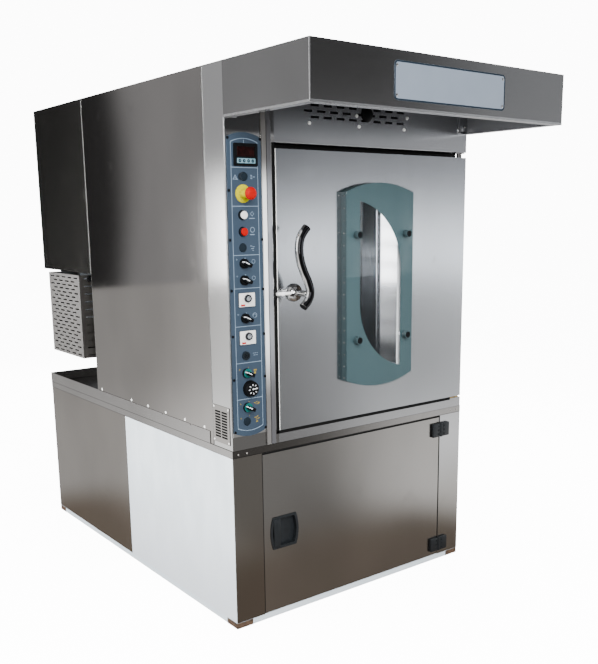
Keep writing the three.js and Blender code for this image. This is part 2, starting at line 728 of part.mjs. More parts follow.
// The sheet-steel liner: a room with a throat towards the door, two ports with collars in its back, a hole in
// its floor for the drive, and bearers that carry it above the deck.
function chamberLiner() {
  const front = seatPlateBack + gap;
  const grown = (x0, x1, y0, y1, z0, z1) => box(x0 - sheet, x1 + sheet, y0, y1, z0 - sheet, z1 + sheet);
  const shell = join(
    grown(chamberLeft, chamberRight, chamberFront - sheet, chamberBack + sheet, chamberBottom, chamberTop),
    grown(throatLeft, throatRight, front, chamberFront, chamberBottom, chamberTop),
    box(throatLeft - hem, throatRight + hem, front, front + sheet, chamberBottom - hem, chamberTop + hem));
  const bearerLeft = chamberLeft + hem;
  const bearerRight = chamberRight - hem;
  const places = [...bearersFromFront, ...bearersFromBack.map((back) => bodyDepth - back)];
  const bearers = places.map((y) => hollow(
    [bearerLeft, bearerRight, y, y + bearerWidth, bodyFloor, chamberBottom - 1],
    [bearerLeft - 1, bearerRight + 1, y + sheet, y + bearerWidth - sheet, bodyFloor + sheet, chamberBottom - sheet]));
  const ports = [supplyPort, returnPort];
  const collars = ports.map((port) =>
    grown(port.left, port.right, chamberBack, casingBack, portBottom, chamberTop - port.underTop));
  const room = box(chamberLeft, chamberRight, chamberFront, chamberBack, chamberBottom, chamberTop);
  const throat = box(throatLeft, throatRight, 0, chamberFront + 1, chamberBottom, chamberTop);
  const portHoles = ports.map((port) =>
    box(port.left, port.right, chamberBack - 1, casingBack + 1, portBottom, chamberTop - port.underTop));
  const driveHole = barZ(bearingRadius + gap, chamberBottom - 10, chamberBottom + 1, rackX, rackY);
  add('chamber_liner', cut(join(shell, bearers, collars), room, throat, portHoles, driveHole), 'steel');
}

// The slotted wall that parts the side duct from the rack, with a foot along the floor.
function airDuctWall() {
  const y0 = chamberFront + gap;
  const y1 = chamberBack - gap;
  const acrossPitch = (y1 - y0) / ductSlotColumns;
  const upPitch = (chamberTop - chamberBottom) / ductSlotRows;
  const slots = [];
  for (let column = 0; column < ductSlotColumns; column += 1) {
    for (let row = 0; row < ductSlotRows; row += 1) {
      const y = y0 + (column + 0.5) * acrossPitch;
      const z = chamberBottom + (row + 0.5) * upPitch;
      slots.push([y - ductSlotLong / 2, y + ductSlotLong / 2, z - ductSlotTall / 2, z + ductSlotTall / 2]);
    }
  }
  const wallSheet = slottedSide(ductX, ductX + sheet, y0, y1, chamberBottom + gap, chamberTop - gap, slots);
  const foot = box(ductX, ductX + hem, y0, y1, chamberBottom + gap, chamberBottom + gap + sheet);
  add('air_duct_wall', join(wallSheet, foot), 'steel');
}

// ---- Turning rack and drive ----

function rackFrame() {
  const x0 = rackX - rackWidth / 2;
  const x1 = rackX + rackWidth / 2;
  const y0 = rackY - rackLong / 2;
  const y1 = rackY + rackLong / 2;
  const foot = tableTop + gap;
  const uprights = [];
  for (const x of [x0, x1 - rackTube]) {
    for (const y of [y0, y1 - rackTube]) {
      uprights.push(box(x + weld, x + rackTube - weld, y + weld, y + rackTube - weld,
        foot + weld, rackTop - weld));
    }
  }
  const hoops = [foot, rackTop - rackTube].map((z) => hollow(
    [x0, x1, y0, y1, z, z + rackTube],
    [x0 + rackTube, x1 - rackTube, y0 + rackTube, y1 - rackTube, z - 1, z + rackTube + 1]));
  const stop = box(rackX - 6, rackX + 6, y1 - rackTube / 2 - 6, y1 - rackTube / 2 + 6, foot + 1, rackTop - 1);
  const slides = [];
  for (let level = 0; level < rackLevels; level += 1) {
    const z = firstLevel + level * levelPitch;
    for (const side of [-1, 1]) {
      const outer = rackX + side * (rackWidth / 2 - rackTube + 1);
      const edge = outer - side * slideLeg;
      const leg = outer - side * (sheet + 1);
      slides.push(cut(
        box(Math.min(outer, edge), Math.max(outer, edge), y0 + 2, y1 - 2, z, z + slideLeg),
        box(Math.min(edge - side, leg), Math.max(edge - side, leg), y0, y1, z + sheet, z + slideLeg + 1)));
    }
  }
  add('rack_frame', join(uprights, hoops, stop, slides), 'steel');
}

// The table that carries the rack: a disc on a hub, and the spindle that drops into the drive.
function turntable() {
  const hubBottom = chamberBottom + gap;
  const plate = barZ(tableRadius, tableTop - tableThick, tableTop, rackX, rackY, 32);
  const hub = barZ(tableHub, hubBottom, tableTop - tableThick + 1, rackX, rackY);
  const shaft = barZ(spindleRadius, hubBottom - spindleLong, hubBottom + 1, rackX, rackY, 24);
  const lightening = [0, 1, 2, 3].map((quarter) => {
    const turn = (quarter + 0.5) * Math.PI / 2;
    const out = (tableRadius + tableHub) / 2;
    return barZ(tableRadius / 4, tableTop - tableThick - 1, tableTop + 1,
      rackX + out * Math.cos(turn), rackY + out * Math.sin(turn));
  });
  add('turntable', cut(join(plate, hub, shaft), lightening), 'galvanised');
}

// Worm gearmotor under the cross rails, its bearing neck rising through the deck and the chamber floor.
function gearmotor() {
  const top = frameTop - angle - gap;
  const flange = box(rackX - driveFlange.x / 2, rackX + driveFlange.x / 2,
    rackY - driveFlange.y / 2, rackY + driveFlange.y / 2, top - driveFlange.thick, top);
  const gearbox = box(rackX - gearboxWidth / 2, rackX + gearboxWidth / 2,
    rackY - gearboxWidth / 2, rackY + gearboxWidth / 2, top - gearboxTall, top - 1);
  const neck = barZ(bearingRadius, top - 1, chamberBottom, rackX, rackY);
  const motorZ = top - gearboxTall / 2 - driveFlange.thick;
  const motorEnd = rackX + gearboxWidth / 2 + driveMotorLong;
  const motor = barX(driveMotorRadius - 4, rackX + gearboxWidth / 2 - 1, motorEnd, rackY, motorZ);
  const fins = [];
  for (let fin = 0; fin < 4; fin += 1) {
    const x = rackX + gearboxWidth / 2 + 30 + fin * 36;
    fins.push(barX(driveMotorRadius, x, x + 6, rackY, motorZ));
  }
  const bore = barZ(spindleRadius + running, chamberBottom - spindleLong - 5, chamberBottom + 1,
    rackX, rackY, 24);
  add('gearmotor', cut(join(flange, gearbox, neck, motor, fins), bore), 'motorGrey');
}

// ---- Rear housing ----

function rearHousing() {
  const housing = hollow([bodyInset, bodyRight, rearFront, rearBack, rearBottom, totalHeight],
    [bodyInset + rearWall, bodyRight - rearWall, rearFront - 1, rearBack - rearWall,
      rearFloor, totalHeight - rearWall]);
  const flange = hollow([bodyInset, bodyRight, rearFront, rearFront + sheet, rearBottom, totalHeight],
    [bodyInset + rearFlange, bodyRight - rearFlange, rearFront - 1, rearFront + 3 * sheet,
      rearBottom + rearFlange, totalHeight - rearFlange]);
  const shaftHole = barZ(fanShaft + 8, rearBottom - 1, rearFloor + 1, fanX, fanY);
  add('rear_housing', cut(join(housing, flange), shaftHole), 'steel');
}

// The perforated cover round the fan motor: slotted sheet on three sides, a plain right side and floor, and
// two flanges at the top that fasten it under the housing.
function motorCover() {
  const x0 = coverLeft;
  const x1 = coverLeft + coverWidth;
  const margin = (coverBack - coverFront - 4 * slotPitch - slotLong) / 2;
  const sideSlots = slotRowsOf([coverFront, coverBack], coverBottom + 5, slotRows, slotRowPitch, slotPitch,
    slotLong, slotTall, margin);
  const frontSlots = slotRowsOf([x0, x1], coverBottom + 5, slotRows, slotRowPitch, slotPitch,
    slotLong, slotTall, margin);
  const left = slottedSide(x0, x0 + sheet, coverFront, coverBack, coverBottom, coverTop, sideSlots);
  const front = slottedFront(x0, x1, coverFront, coverFront + sheet, coverBottom, coverTop, frontSlots);
  const back = box(x0, x1, coverBack - sheet, coverBack, coverBottom, coverTop);
  const right = box(x1 - sheet, x1, coverFront, coverBack, coverBottom, coverTop);
  const floor = box(x0, x1, coverFront, coverBack, coverBottom, coverBottom + sheet);
  const flangeTop = rearBottom - gap;
  const brackets = [coverFront, coverBack - sheet].map((y) => {
    const inward = y === coverFront ? 1 : -1;
    const edge = y + (inward > 0 ? 0 : sheet);
    const reach = edge + inward * 2 * hem;
    return join(
      box(x0 + 60, x1 - 60, y, y + sheet, coverTop - 1, flangeTop),
      box(x0 + 60, x1 - 60, Math.min(edge, reach), Math.max(edge, reach), flangeTop - sheet, flangeTop));
  });
  add('motor_cover', join(left, front, back, right, floor, brackets), 'steel');
}

function fanMotor() {
  const flange = barZ(motorRadius + 14, motorTop - 10, motorTop, fanX, fanY, 20);
  const body = barZ(motorRadius - 6, motorTop - motorLong, motorTop - 9, fanX, fanY, 20);
  const fins = [];
  for (let fin = 0; fin < 5; fin += 1) {
    const z = motorTop - 60 - fin * 30;
    fins.push(barZ(motorRadius, z - 5, z, fanX, fanY, 20));
  }
  const terminalBox = box(fanX + motorRadius - 30, fanX + motorRadius + motorBox.reach,
    fanY - motorBox.half, fanY + motorBox.half,
    motorTop - motorBox.drop - motorBox.tall, motorTop - motorBox.drop);
  const shaftBore = barZ(fanShaft + running, motorTop - 70, motorTop + 1, fanX, fanY);
  add('fan_motor', cut(join(flange, body, fins, terminalBox), shaftBore), 'motorGrey');
}

// Centrifugal wheel: back disc, curved blades and a ring, on a shaft that drops into the motor.
function fanWheel() {
  const z0 = rearFloor + 6;
  const backDisc = barZ(fanRadius, z0, z0 + 3, fanX, fanY, 24);
  const shaft = barZ(fanShaft, motorTop - 65, z0 + 40, fanX, fanY);
  const hub = barZ(32, z0, z0 + 30, fanX, fanY);
  const ring = cut(barZ(fanRadius, z0 + fanTall, z0 + fanTall + 3, fanX, fanY, 24),
    barZ(fanRadius * 0.72, z0 + fanTall - 1, z0 + fanTall + 4, fanX, fanY, 24));
  const blades = [];
  for (let blade = 0; blade < fanBlades; blade += 1) {
    const start = fanRadius * 0.7;
    const end = fanRadius - 4;
    const shape = new THREE.Shape();
    shape.moveTo(start, 0);
    shape.quadraticCurveTo((start + end) / 2, 16, end, 12);
    shape.lineTo(end, 14.5);
    shape.quadraticCurveTo((start + end) / 2, 19, start, 3);
    shape.closePath();
    const geometry = new THREE.ExtrudeGeometry(shape, { depth: fanTall - 1, bevelEnabled: false, curveSegments: 3 });
    geometry.rotateZ(blade * 2 * Math.PI / fanBlades);
    geometry.translate(fanX, fanY, z0 + 2);
    blades.push(solid(geometry));
  }
  add('fan_wheel', join(backDisc, hub, shaft, ring, blades), 'galvanised');
}

// Three tubular hairpins on one plate, screwed to the back wall of the housing beside the fan.
function heatingElements() {
  const x = fanX + fanRadius + elementFromFan;
  const wallY = rearBack - rearWall - gap;
  const first = rearFloor + elementUp;
  const { half, thick } = elementPlate;
  const plateTall = elementPitch * (elementCount - 1) + 2 * elementBend + 2 * half;
  const plate = box(x - half, x + half, wallY - thick, wallY, first - elementBend - half,
    first - elementBend - half + plateTall);
  const hairpins = [];
  const circle = new THREE.Shape();
  circle.absarc(0, 0, elementRadius, 0, 2 * Math.PI);
  const far = wallY - elementReach;
  for (let element = 0; element < elementCount; element += 1) {
    const z = first + element * elementPitch;
    const bend = new THREE.CubicBezierCurve3(
      new THREE.Vector3(x, far, z - elementBend),
      new THREE.Vector3(x, far - elementBend * 4 / 3, z - elementBend),
      new THREE.Vector3(x, far - elementBend * 4 / 3, z + elementBend),
      new THREE.Vector3(x, far, z + elementBend));
    hairpins.push(solid(new THREE.ExtrudeGeometry(circle,
      { steps: 8, extrudePath: bend, curveSegments: 4, bevelEnabled: false })));
    hairpins.push(barY(elementRadius, far - 0.5, wallY - 2, x, z - elementBend, 8));
    hairpins.push(barY(elementRadius, far - 0.5, wallY - 2, x, z + elementBend, 8));
  }
  add('heating_elements', join(plate, hairpins), 'enamel');
}

// ---- Hood ----

function hood() {
  const back = -gap;
  const shell = cut(
    box(bodyInset, bodyRight, hoodFront, back, hoodBottom, totalHeight),
    box(bodyInset + sheet, bodyRight - sheet, hoodFront + sheet, back + 1, hoodBottom + sheet, totalHeight - sheet),
    box(bodyInset + hoodLip, bodyRight - hoodLip, hoodFront + hoodLip, back + 1, hoodBottom - 1, hoodBottom + 10));
  const flanges = [[bodyInset, bodyInset + hoodFlange], [bodyRight - hoodFlange, bodyRight]].map(([low, high]) =>
    box(low, high, back - sheet, back, hoodBottom, totalHeight));
  const topFlange = box(bodyInset, bodyRight, back - sheet, back, totalHeight - hoodFlange / 2, totalHeight);
  add('hood', join(shell, flanges, topFlange), 'steel');

  const middle = width / 2;
  const plateBottom = hoodBottom + nameplate.aboveHem;
  const plateShape = roundedRectangle(middle - nameplate.width / 2, middle + nameplate.width / 2,
    plateBottom, plateBottom + nameplate.tall, nameplate.corner);
  add('nameplate', frontPlate(plateShape, hoodFront - gap - nameplate.thick, hoodFront - gap, 3), 'white');
}

// ---- Control panel ----

function panelPlate() {
  const plate = frontPlate(
    archedPlate(panelLeft, panelRight, panelCornerBottom, panelCornerTop, panelArch), panelFace, -gap);
  const bezelHeights = [startZ, stopZ, ...Object.values(selectorHeights)];
  const bezels = bezelHeights.map((z) => barY(bezelRadius, panelFace - bezelRise, panelFace + 1, buttonX, z));
  const plugs = plugHeights.map((z) => barY(plugRadius, panelFace - 3, panelFace + 1, buttonX, z));
  const buzzerCap = barY(buzzer.radius, panelFace - 5, panelFace + 1, buzzer.x, buzzer.z);
  const back = sheet + 1;
  const holes = [
    box(controller.x - controller.body / 2 - gap, controller.x + controller.body / 2 + gap, -30, back,
      controller.z - controller.body / 2 - gap, controller.z + controller.body / 2 + gap),
    barY(estop.neck + gap, -30, back, estop.x, estop.z),
    barY(programDial.shaft + running, -30, back, programDial.x, programDial.z),
    ...bezelHeights.map((z) => barY(buttonRadius + running, -30, back, buttonX, z)),
    ...Object.values(timerHeights).map((z) => box(
      timerX - timerBody / 2 - gap, timerX + timerBody / 2 + gap, -30, back,
      z - timerBody / 2 - gap, z + timerBody / 2 + gap)),
  ];
  add('panel_plate', cut(join(plate, bezels, plugs, buzzerCap), holes), 'panelBlue');
}

function temperatureController() {
  const half = controller.side / 2;
  const body = controller.body / 2;
  const front = onPanel - controller.rise;
  const bezel = box(controller.x - half, controller.x + half, front, onPanel,
    controller.z - half, controller.z + half);
  const screen = box(controller.x - half + 7, controller.x + half - 7, front - 1, front + 1.5,
    controller.z - 6, controller.z + half - 7);
  const keys = [-1, 0, 1].map((place) => {
    const x = controller.x + place * 19;
    return box(x - 7, x + 7, front - 1.2, front + 1, controller.z - half + 8, controller.z - half + 17);
  });
  const block = box(controller.x - body, controller.x + body, onPanel - 1, controller.deep,
    controller.z - body, controller.z + body);
  add('temperature_controller', join(cut(bezel, screen), keys, block), 'black');
}

function emergencyStop() {
  const collar = join(
    barY(estop.collar, onPanel - 2.5, onPanel, estop.x, estop.z, 24),
    barY(estop.neck, onPanel - estop.neckOut, controlDepth, estop.x, estop.z));
  add('estop_collar', cut(collar, barY(buttonRadius + running, -60, controlDepth + 1, estop.x, estop.z)), 'yellow');
  const front = -onPanel + estop.reach;
  const cap = estop.head;
  const profile = [[0, front], [cap * 0.55, front - 0.8], [cap * 0.9, front - 4], [cap, front - 8],
    [cap, front - 13], [cap * 0.7, front - 17], [buttonRadius, front - 18], [buttonRadius, -controlDepth + 2],
    [0, -controlDepth + 2]];
  add('estop_head', turnedFront(profile.reverse(), estop.x, 0, estop.z), 'red');
}

function pushButton(name, z, look) {
  const front = -panelFace + bezelRise + 2;
  const profile = [[0, -controlDepth], [buttonRadius, -controlDepth], [buttonRadius, front - 1],
    [buttonRadius - 1, front], [0, front]];
  add(name, turnedFront(profile, buttonX, 0, z), look);
}

// A selector: a round base in its bezel with a finger bar across the front.
function selector(name, z, look) {
  const front = -panelFace + bezelRise + 1;
  const profile = [[0, -controlDepth], [buttonRadius, -controlDepth], [buttonRadius, front], [0, front]];
  const barShape = new THREE.Shape();
  barShape.moveTo(-4.5, -12);
  barShape.lineTo(4.5, -12);
  barShape.lineTo(4, 9);
  barShape.quadraticCurveTo(0, 17, -4, 9);
  barShape.closePath();
  const bar = new THREE.ExtrudeGeometry(barShape, { depth: 13, bevelEnabled: false, curveSegments: 5 });
  bar.applyMatrix4(alongY);
  bar.translate(0, -front + 1 - gap, 0);
  bar.rotateY(-selectorTurn);
  bar.translate(buttonX, 0, z);
  add(name, join(turnedFront(profile, buttonX, 0, z), solid(bar)), look);
}

function timer(name, z) {
  const half = timerSide / 2;
  const body = timerBody / 2;
  const front = onPanel - 7;
  const bezel = box(timerX - half, timerX + half, front, onPanel, z - half, z + half);
  const block = box(timerX - body, timerX + body, onPanel - 1, controller.deep, z - body, z + body);
  const dialZ = z + timerDialRise;
  const socket = barY(5 + running, front - 1, 10, timerX, dialZ, 12);
  add(`${name}_body`, cut(join(bezel, block), socket), 'white');
  const dialProfile = [[0, -8], [5, -8], [5, -front + gap], [timerDialRadius, -front + gap],
    [timerDialRadius - 1, -front + 5], [8, -front + 5], [7, -front + 11], [0, -front + 11]];
  add(`${name}_dial`, turnedFront(dialProfile, timerX, 0, dialZ), 'white');
}

// The program dial: a flange on the panel and a wide, slightly tapered knob.
function programDialKnob() {
  const { radius, grip, shaft, tall } = programDial;
  const out = -onPanel;
  const profile = [[0, -controlDepth], [shaft, -controlDepth], [shaft, out], [radius, out], [radius, out + 3],
    [grip + 1, out + 5], [grip - 1, out + tall - 1.5], [grip - 2.5, out + tall], [0, out + tall]];
  add('program_dial', turnedFront(profile, programDial.x, 0, programDial.z, 20), 'black');
}

// ---- Oven door ----

function doorShell() {
  const returns = hollow(
    [doorLeft, bodyRight, 0, doorThick, doorBottom, doorTop],
    [doorLeft + sheet, bodyRight - sheet, sheet, doorThick + 1, doorBottom + sheet, doorTop - sheet]);
  const view = box(glassCentre - viewWidth / 2, glassCentre + viewWidth / 2, -1, sheet + 1, viewBottom, viewTop);
  const pinHoles = [[doorTop - 10, doorTop + 1], [doorBottom - 1, doorBottom + 10]].map(([low, high]) =>
    barZ(doorHingeMouth, low, high, doorHingeX, hingeY));
  const latchGuide = box(doorLeft + 2, doorLeft + 16, -(latchOut + latchRadius + 3), 1,
    handleZ - 11, handleZ + 11);
  const latchHole = barX(latchRadius + running, doorLeft, doorLeft + 20, -latchOut, handleZ);
  const spindleHole = barY(spindle + running, -1, sheet + 1, handleX, handleZ);
  add('door_skin', cut(join(returns, latchGuide), view, pinHoles, latchHole, spindleHole), 'doorSteel');
}

// The inner pan closes the back of the door. A sleeve behind the view passes through it into the throat and
// holds the inner pane at its far end.
function doorPan() {
  const half = viewWidth / 2;
  const clear = paneLap + 2 * gap;
  const back = box(doorLeft, bodyRight, doorThick + gap, panBack, doorBottom, doorTop);
  const sleeve = box(glassCentre - half - clear - sheet, glassCentre + half + clear + sheet,
    sheet + gap, sleeveBack, viewBottom - clear - sheet, viewTop + clear + sheet);
  const sleeveRoom = box(glassCentre - half - clear, glassCentre + half + clear,
    0, sleeveBack - sheet, viewBottom - clear, viewTop + clear);
  const view = box(glassCentre - half, glassCentre + half, 0, sleeveBack + 1, viewBottom, viewTop);
  add('door_pan', cut(join(back, sleeve), sleeveRoom, view), 'steel');
  const paneBack = sleeveBack - sheet - gap;
  add('window_inner_glass', box(glassCentre - half - paneLap, glassCentre + half + paneLap,
    paneBack - paneThick, paneBack, viewBottom - paneLap, viewTop + paneLap), 'glass');
}

function doorGasket() {
  const x0 = throatLeft - gasketFromThroat - gasketWide;
  const x1 = throatRight + gasketFromThroat + gasketWide;
  const z0 = chamberBottom - gasketFromThroat - gasketWide;
  const z1 = chamberTop + gasketFromThroat + gasketWide;
  const y0 = panBack + gap;
  const y1 = doorSeatDepth - gap;
  const ring = cut(frontPlate(roundedRectangle(x0, x1, z0, z1, 26), y0, y1, 3),
    frontPlate(roundedRectangle(x0 + gasketWide, x1 - gasketWide, z0 + gasketWide, z1 - gasketWide, 12),
      y0 - 1, y1 + 1, 3));
  add('door_gasket', ring, 'seal');
}

function glassOutline(shrink) {
  return archedPlate(glassCentre - glassWidth / 2 + shrink, glassCentre + glassWidth / 2 - shrink,
    glassCornerBottom + shrink, glassCornerTop - shrink, glassArch);
}

const studs = studHeights.flatMap((z) => [-1, 1].map((side) => ({ x: glassCentre + side * studX, z })));

// The frame behind the outer glass: a flat ring on the door, a rim that the glass rests on, and four studs
// with round caps that hold the glass.
function windowFrame() {
  const half = viewWidth / 2;
  const ring = cut(frontPlate(glassOutline(1), -gap - sheet, -gap),
    box(glassCentre - half, glassCentre + half, -20, 20, viewBottom, viewTop));
  const rim = cut(frontPlate(glassOutline(1), glassBack + gap, -gap - 1),
    frontPlate(glassOutline(1 + sheet), glassBack - 1, 1));
  const posts = studs.map(({ x, z }) => join(
    barY(studRadius, glassFront - gap - 1, -gap - 1, x, z, 12),
    barY(studRadius + 3, glassBack + gap, -gap - 1, x, z, 12),
    barY(studCap, glassFront - gap - studCapLong, glassFront - gap, x, z)));
  add('window_frame', join(ring, rim, posts), 'doorSteel');
  const holes = studs.map(({ x, z }) => barY(studRadius + gap, glassFront - 1, glassBack + 1, x, z, 12));
  add('window_outer_glass', cut(frontPlate(glassOutline(0), glassFront, glassBack), holes), 'glassPrint');
}

// The S-shaped bar handle on its spindle, the domed rosette on the door, and the latch rod.
function doorHandle() {
  const rosetteProfile = [[spindle + running, gap], [rosetteRadius, gap], [rosetteRadius, 4],
    [rosetteRadius * 0.93, 11], [rosetteRadius * 0.78, 17], [rosetteRadius * 0.5, rosetteOut - 1],
    [spindle + 4, rosetteOut], [spindle + 4, rosetteOut + 7], [spindle + running, rosetteOut + 7],
    [spindle + running, gap]];
  const rosette = turnedFront(rosetteProfile, handleX, 0, handleZ, 20);
  const latchBore = barX(latchRadius + running, handleX - rosetteRadius - 5, handleX - spindle - running - 1,
    -latchOut, handleZ);
  add('handle_rosette', cut(rosette, latchBore), 'chrome');

  const curve = new THREE.CatmullRomCurve3(
    handleCurve.map(([x, z]) => new THREE.Vector3(handleX + x, -handleOut, handleZ + z)), false, 'centripetal');
  const section = new THREE.Shape();
  section.absarc(0, 0, handleBar, 0, 2 * Math.PI);
  const bar = solid(new THREE.ExtrudeGeometry(section,
    { steps: 24, extrudePath: curve, curveSegments: 6, bevelEnabled: false }));
  const stem = barY(spindle, -handleOut, doorThick - 12, handleX, handleZ);
  const collar = barY(spindle + 3, -handleOut, -(rosetteOut + 7 + gap), handleX, handleZ);
  add('door_handle', join(bar, stem, collar), 'chrome');

  const latchEnd = handleX - spindle - running - latchTravel - 2;
  add('latch_bolt', barX(latchRadius, columnWidth + bodyInset - 8, latchEnd, -latchOut, handleZ), 'chrome');
}

// A plate on the frame with a pin into the door, above and below.
function doorHinge(name, mountZ, doorZ, look) {
  const down = Math.sign(doorZ - mountZ);
  const plateEnd = mountZ + down * hingePlate.thick;
  const plate = box(doorHingeX - hingePlate.x / 2, doorHingeX + hingePlate.x / 2 - 6,
    hingeY - hingePlate.y / 2 + 2, hingeY + hingePlate.y / 2 + 2,
    Math.min(mountZ, plateEnd), Math.max(mountZ, plateEnd));
  const pinEnd = doorZ + down * 18;
  const pin = barZ(hingePin, Math.min(mountZ, pinEnd), Math.max(mountZ, pinEnd), doorHingeX, hingeY);
  const washerEnd = doorZ - down * gap;
  const washer = barZ(hingePin + 5, Math.min(mountZ, washerEnd), Math.max(mountZ, washerEnd),
    doorHingeX, hingeY);
  add(name, join(plate, pin, washer), look);
}

// ---- Assembly ----

plinth();
baseFrame();
baseDeck();
basePanels();
baseFrontFrame();
baseDoor();
blockHinge('base_hinge_upper', baseDoorTop - blockFromTop - blockTall / 2);
blockHinge('base_hinge_lower', baseDoorBottom + blockFromBottom - blockTall / 2);
sidePanels();
controlColumn();
ventPlate();
frontFrame();
chamberLiner();
airDuctWall();
rackFrame();
turntable();
gearmotor();
rearHousing();
motorCover();
fanMotor();
fanWheel();
heatingElements();
hood();
panelPlate();
temperatureController();
emergencyStop();
pushButton('start_button', startZ, 'white');
pushButton('stop_button', stopZ, 'red');
for (const [name, z] of Object.entries(selectorHeights)) {
  selector(name, z, name === 'selector_rack' || name === 'selector_power' ? 'green' : 'black');
}
for (const [name, z] of Object.entries(timerHeights)) timer(name, z);
programDialKnob();
doorShell();
doorPan();
doorGasket();
windowFrame();
doorHandle();
doorHinge('door_hinge_upper', lintelBottom - gap, doorTop, 'chrome');
doorHinge('door_hinge_lower', sillTop + gap, doorBottom, 'brass');

const frontReach = hoodDepth + gap + nameplate.thick;
oven.position.set(-width / 2, -(baseDepth - frontReach) / 2, 0);

export default oven;
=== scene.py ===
import math

import bmesh
import bpy
from mathutils import Matrix, Vector


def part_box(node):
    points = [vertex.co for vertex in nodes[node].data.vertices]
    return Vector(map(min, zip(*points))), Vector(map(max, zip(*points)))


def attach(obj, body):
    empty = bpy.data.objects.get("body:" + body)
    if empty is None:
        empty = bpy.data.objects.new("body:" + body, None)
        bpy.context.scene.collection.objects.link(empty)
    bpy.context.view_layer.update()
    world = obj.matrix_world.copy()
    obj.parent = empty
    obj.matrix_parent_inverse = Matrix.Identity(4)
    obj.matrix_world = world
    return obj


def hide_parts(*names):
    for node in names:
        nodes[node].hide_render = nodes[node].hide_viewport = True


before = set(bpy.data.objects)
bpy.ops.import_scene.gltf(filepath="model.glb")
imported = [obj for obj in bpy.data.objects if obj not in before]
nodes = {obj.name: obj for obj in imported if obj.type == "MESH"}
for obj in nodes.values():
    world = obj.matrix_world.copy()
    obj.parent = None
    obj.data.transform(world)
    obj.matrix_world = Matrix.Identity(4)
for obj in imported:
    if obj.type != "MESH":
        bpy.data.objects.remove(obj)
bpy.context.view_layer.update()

# Rotating rack oven: finishes, fine pieces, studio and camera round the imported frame.
# Places are written in millimetres from the front left floor corner of the base cabinet.

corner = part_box("base_deck")[0]


def spot(x, y, z):
    return Vector((corner.x + x / 1000, corner.y + y / 1000, z / 1000))


# Shader work: a wire is a socket that can be used in sums, and a tree makes every other node.

class Wire:
    def __init__(self, tree, socket):
        self.tree, self.socket = tree, socket

    def sum(self, operation, first, second=0.0):
        return self.tree.node("Math", {"operation": operation}, {0: first, 1: second})

    def __add__(self, other): return self.sum("ADD", self, other)
    def __radd__(self, other): return self.sum("ADD", other, self)
    def __sub__(self, other): return self.sum("SUBTRACT", self, other)
    def __rsub__(self, other): return self.sum("SUBTRACT", other, self)
    def __mul__(self, other): return self.sum("MULTIPLY", self, other)
    def __rmul__(self, other): return self.sum("MULTIPLY", other, self)
    def __truediv__(self, other): return self.sum("DIVIDE", self, other)
    def __pow__(self, other): return self.sum("POWER", self, other)
    def __abs__(self): return self.sum("ABSOLUTE", self)

    def most(self, other): return self.sum("MAXIMUM", self, other)
    def least(self, other): return self.sum("MINIMUM", self, other)

    # 0 below low, 1 above high, with a soft step between
    def step(self, low, high):
        return self.tree.node("MapRange", {"interpolation_type": "SMOOTHSTEP"}, {0: self, 1: low, 2: high})


class Tree:
    def __init__(self, tree):
        self.tree = tree

    def node(self, kind, settings=None, sockets=None, output=0):
        made = self.tree.nodes.new("ShaderNode" + kind)
        for key, value in (settings or {}).items():
            if key == "stops":
                elements = made.color_ramp.elements
                elements[0].position, elements[1].position = value[0][0], value[-1][0]
                for place, tone in value[1:-1]:
                    elements.new(place).color = (*tone, 1)
                elements[0].color = (*value[0][1], 1)
                elements[len(value) - 1].color = (*value[-1][1], 1)
            else:
                setattr(made, key, value)
        self.feed(made, sockets or {})
        return Wire(self, made.outputs[output])

    def feed(self, made, sockets):
        for key, value in sockets.items():
            if isinstance(value, Wire):
                self.tree.links.new(value.socket, made.inputs[key])
            elif isinstance(value, tuple) and len(value) == 3 and made.inputs[key].type == "RGBA":
                made.inputs[key].default_value = (*value, 1)
            else:
                made.inputs[key].default_value = value

    def mix(self, factor, first, second):
        return self.node("Mix", {"data_type": "RGBA"}, {0: factor, 6: first, 7: second}, 2)

    def axes(self, vector):
        return [self.node("SeparateXYZ", None, {0: vector}, axis) for axis in range(3)]

    def stretch(self, vector, scale):
        return self.node("VectorMath", {"operation": "MULTIPLY"}, {0: vector, 1: scale})

    def cloud(self, vector, scale, detail=2.0, rough=0.5):
        return self.node("TexNoise", None, {"Vector": vector, "Scale": scale, "Detail": detail, "Roughness": rough})


class Finish(Tree):
    def __init__(self, name, **fixed):
        self.material = bpy.data.materials.new(name)
        self.material.use_nodes = True
        super().__init__(self.material.node_tree)
        self.shader = self.tree.nodes["Principled BSDF"]
        self.at = self.node("TexCoord", None, None, "Object")
        self.set(**fixed)

    def set(self, **values):
        self.feed(self.shader, {key.replace("_", " "): value for key, value in values.items()})

    def bump(self, height, strength, distance):
        self.set(Normal=self.node("Bump", None, {"Height": height, "Strength": strength, "Distance": distance}))

    # the place on the object in millimetres of the workshop drawing
    def drawing(self):
        x, y, z = self.axes(self.at)
        return (x - corner.x) * 1000, (y - corner.y) * 1000, z * 1000


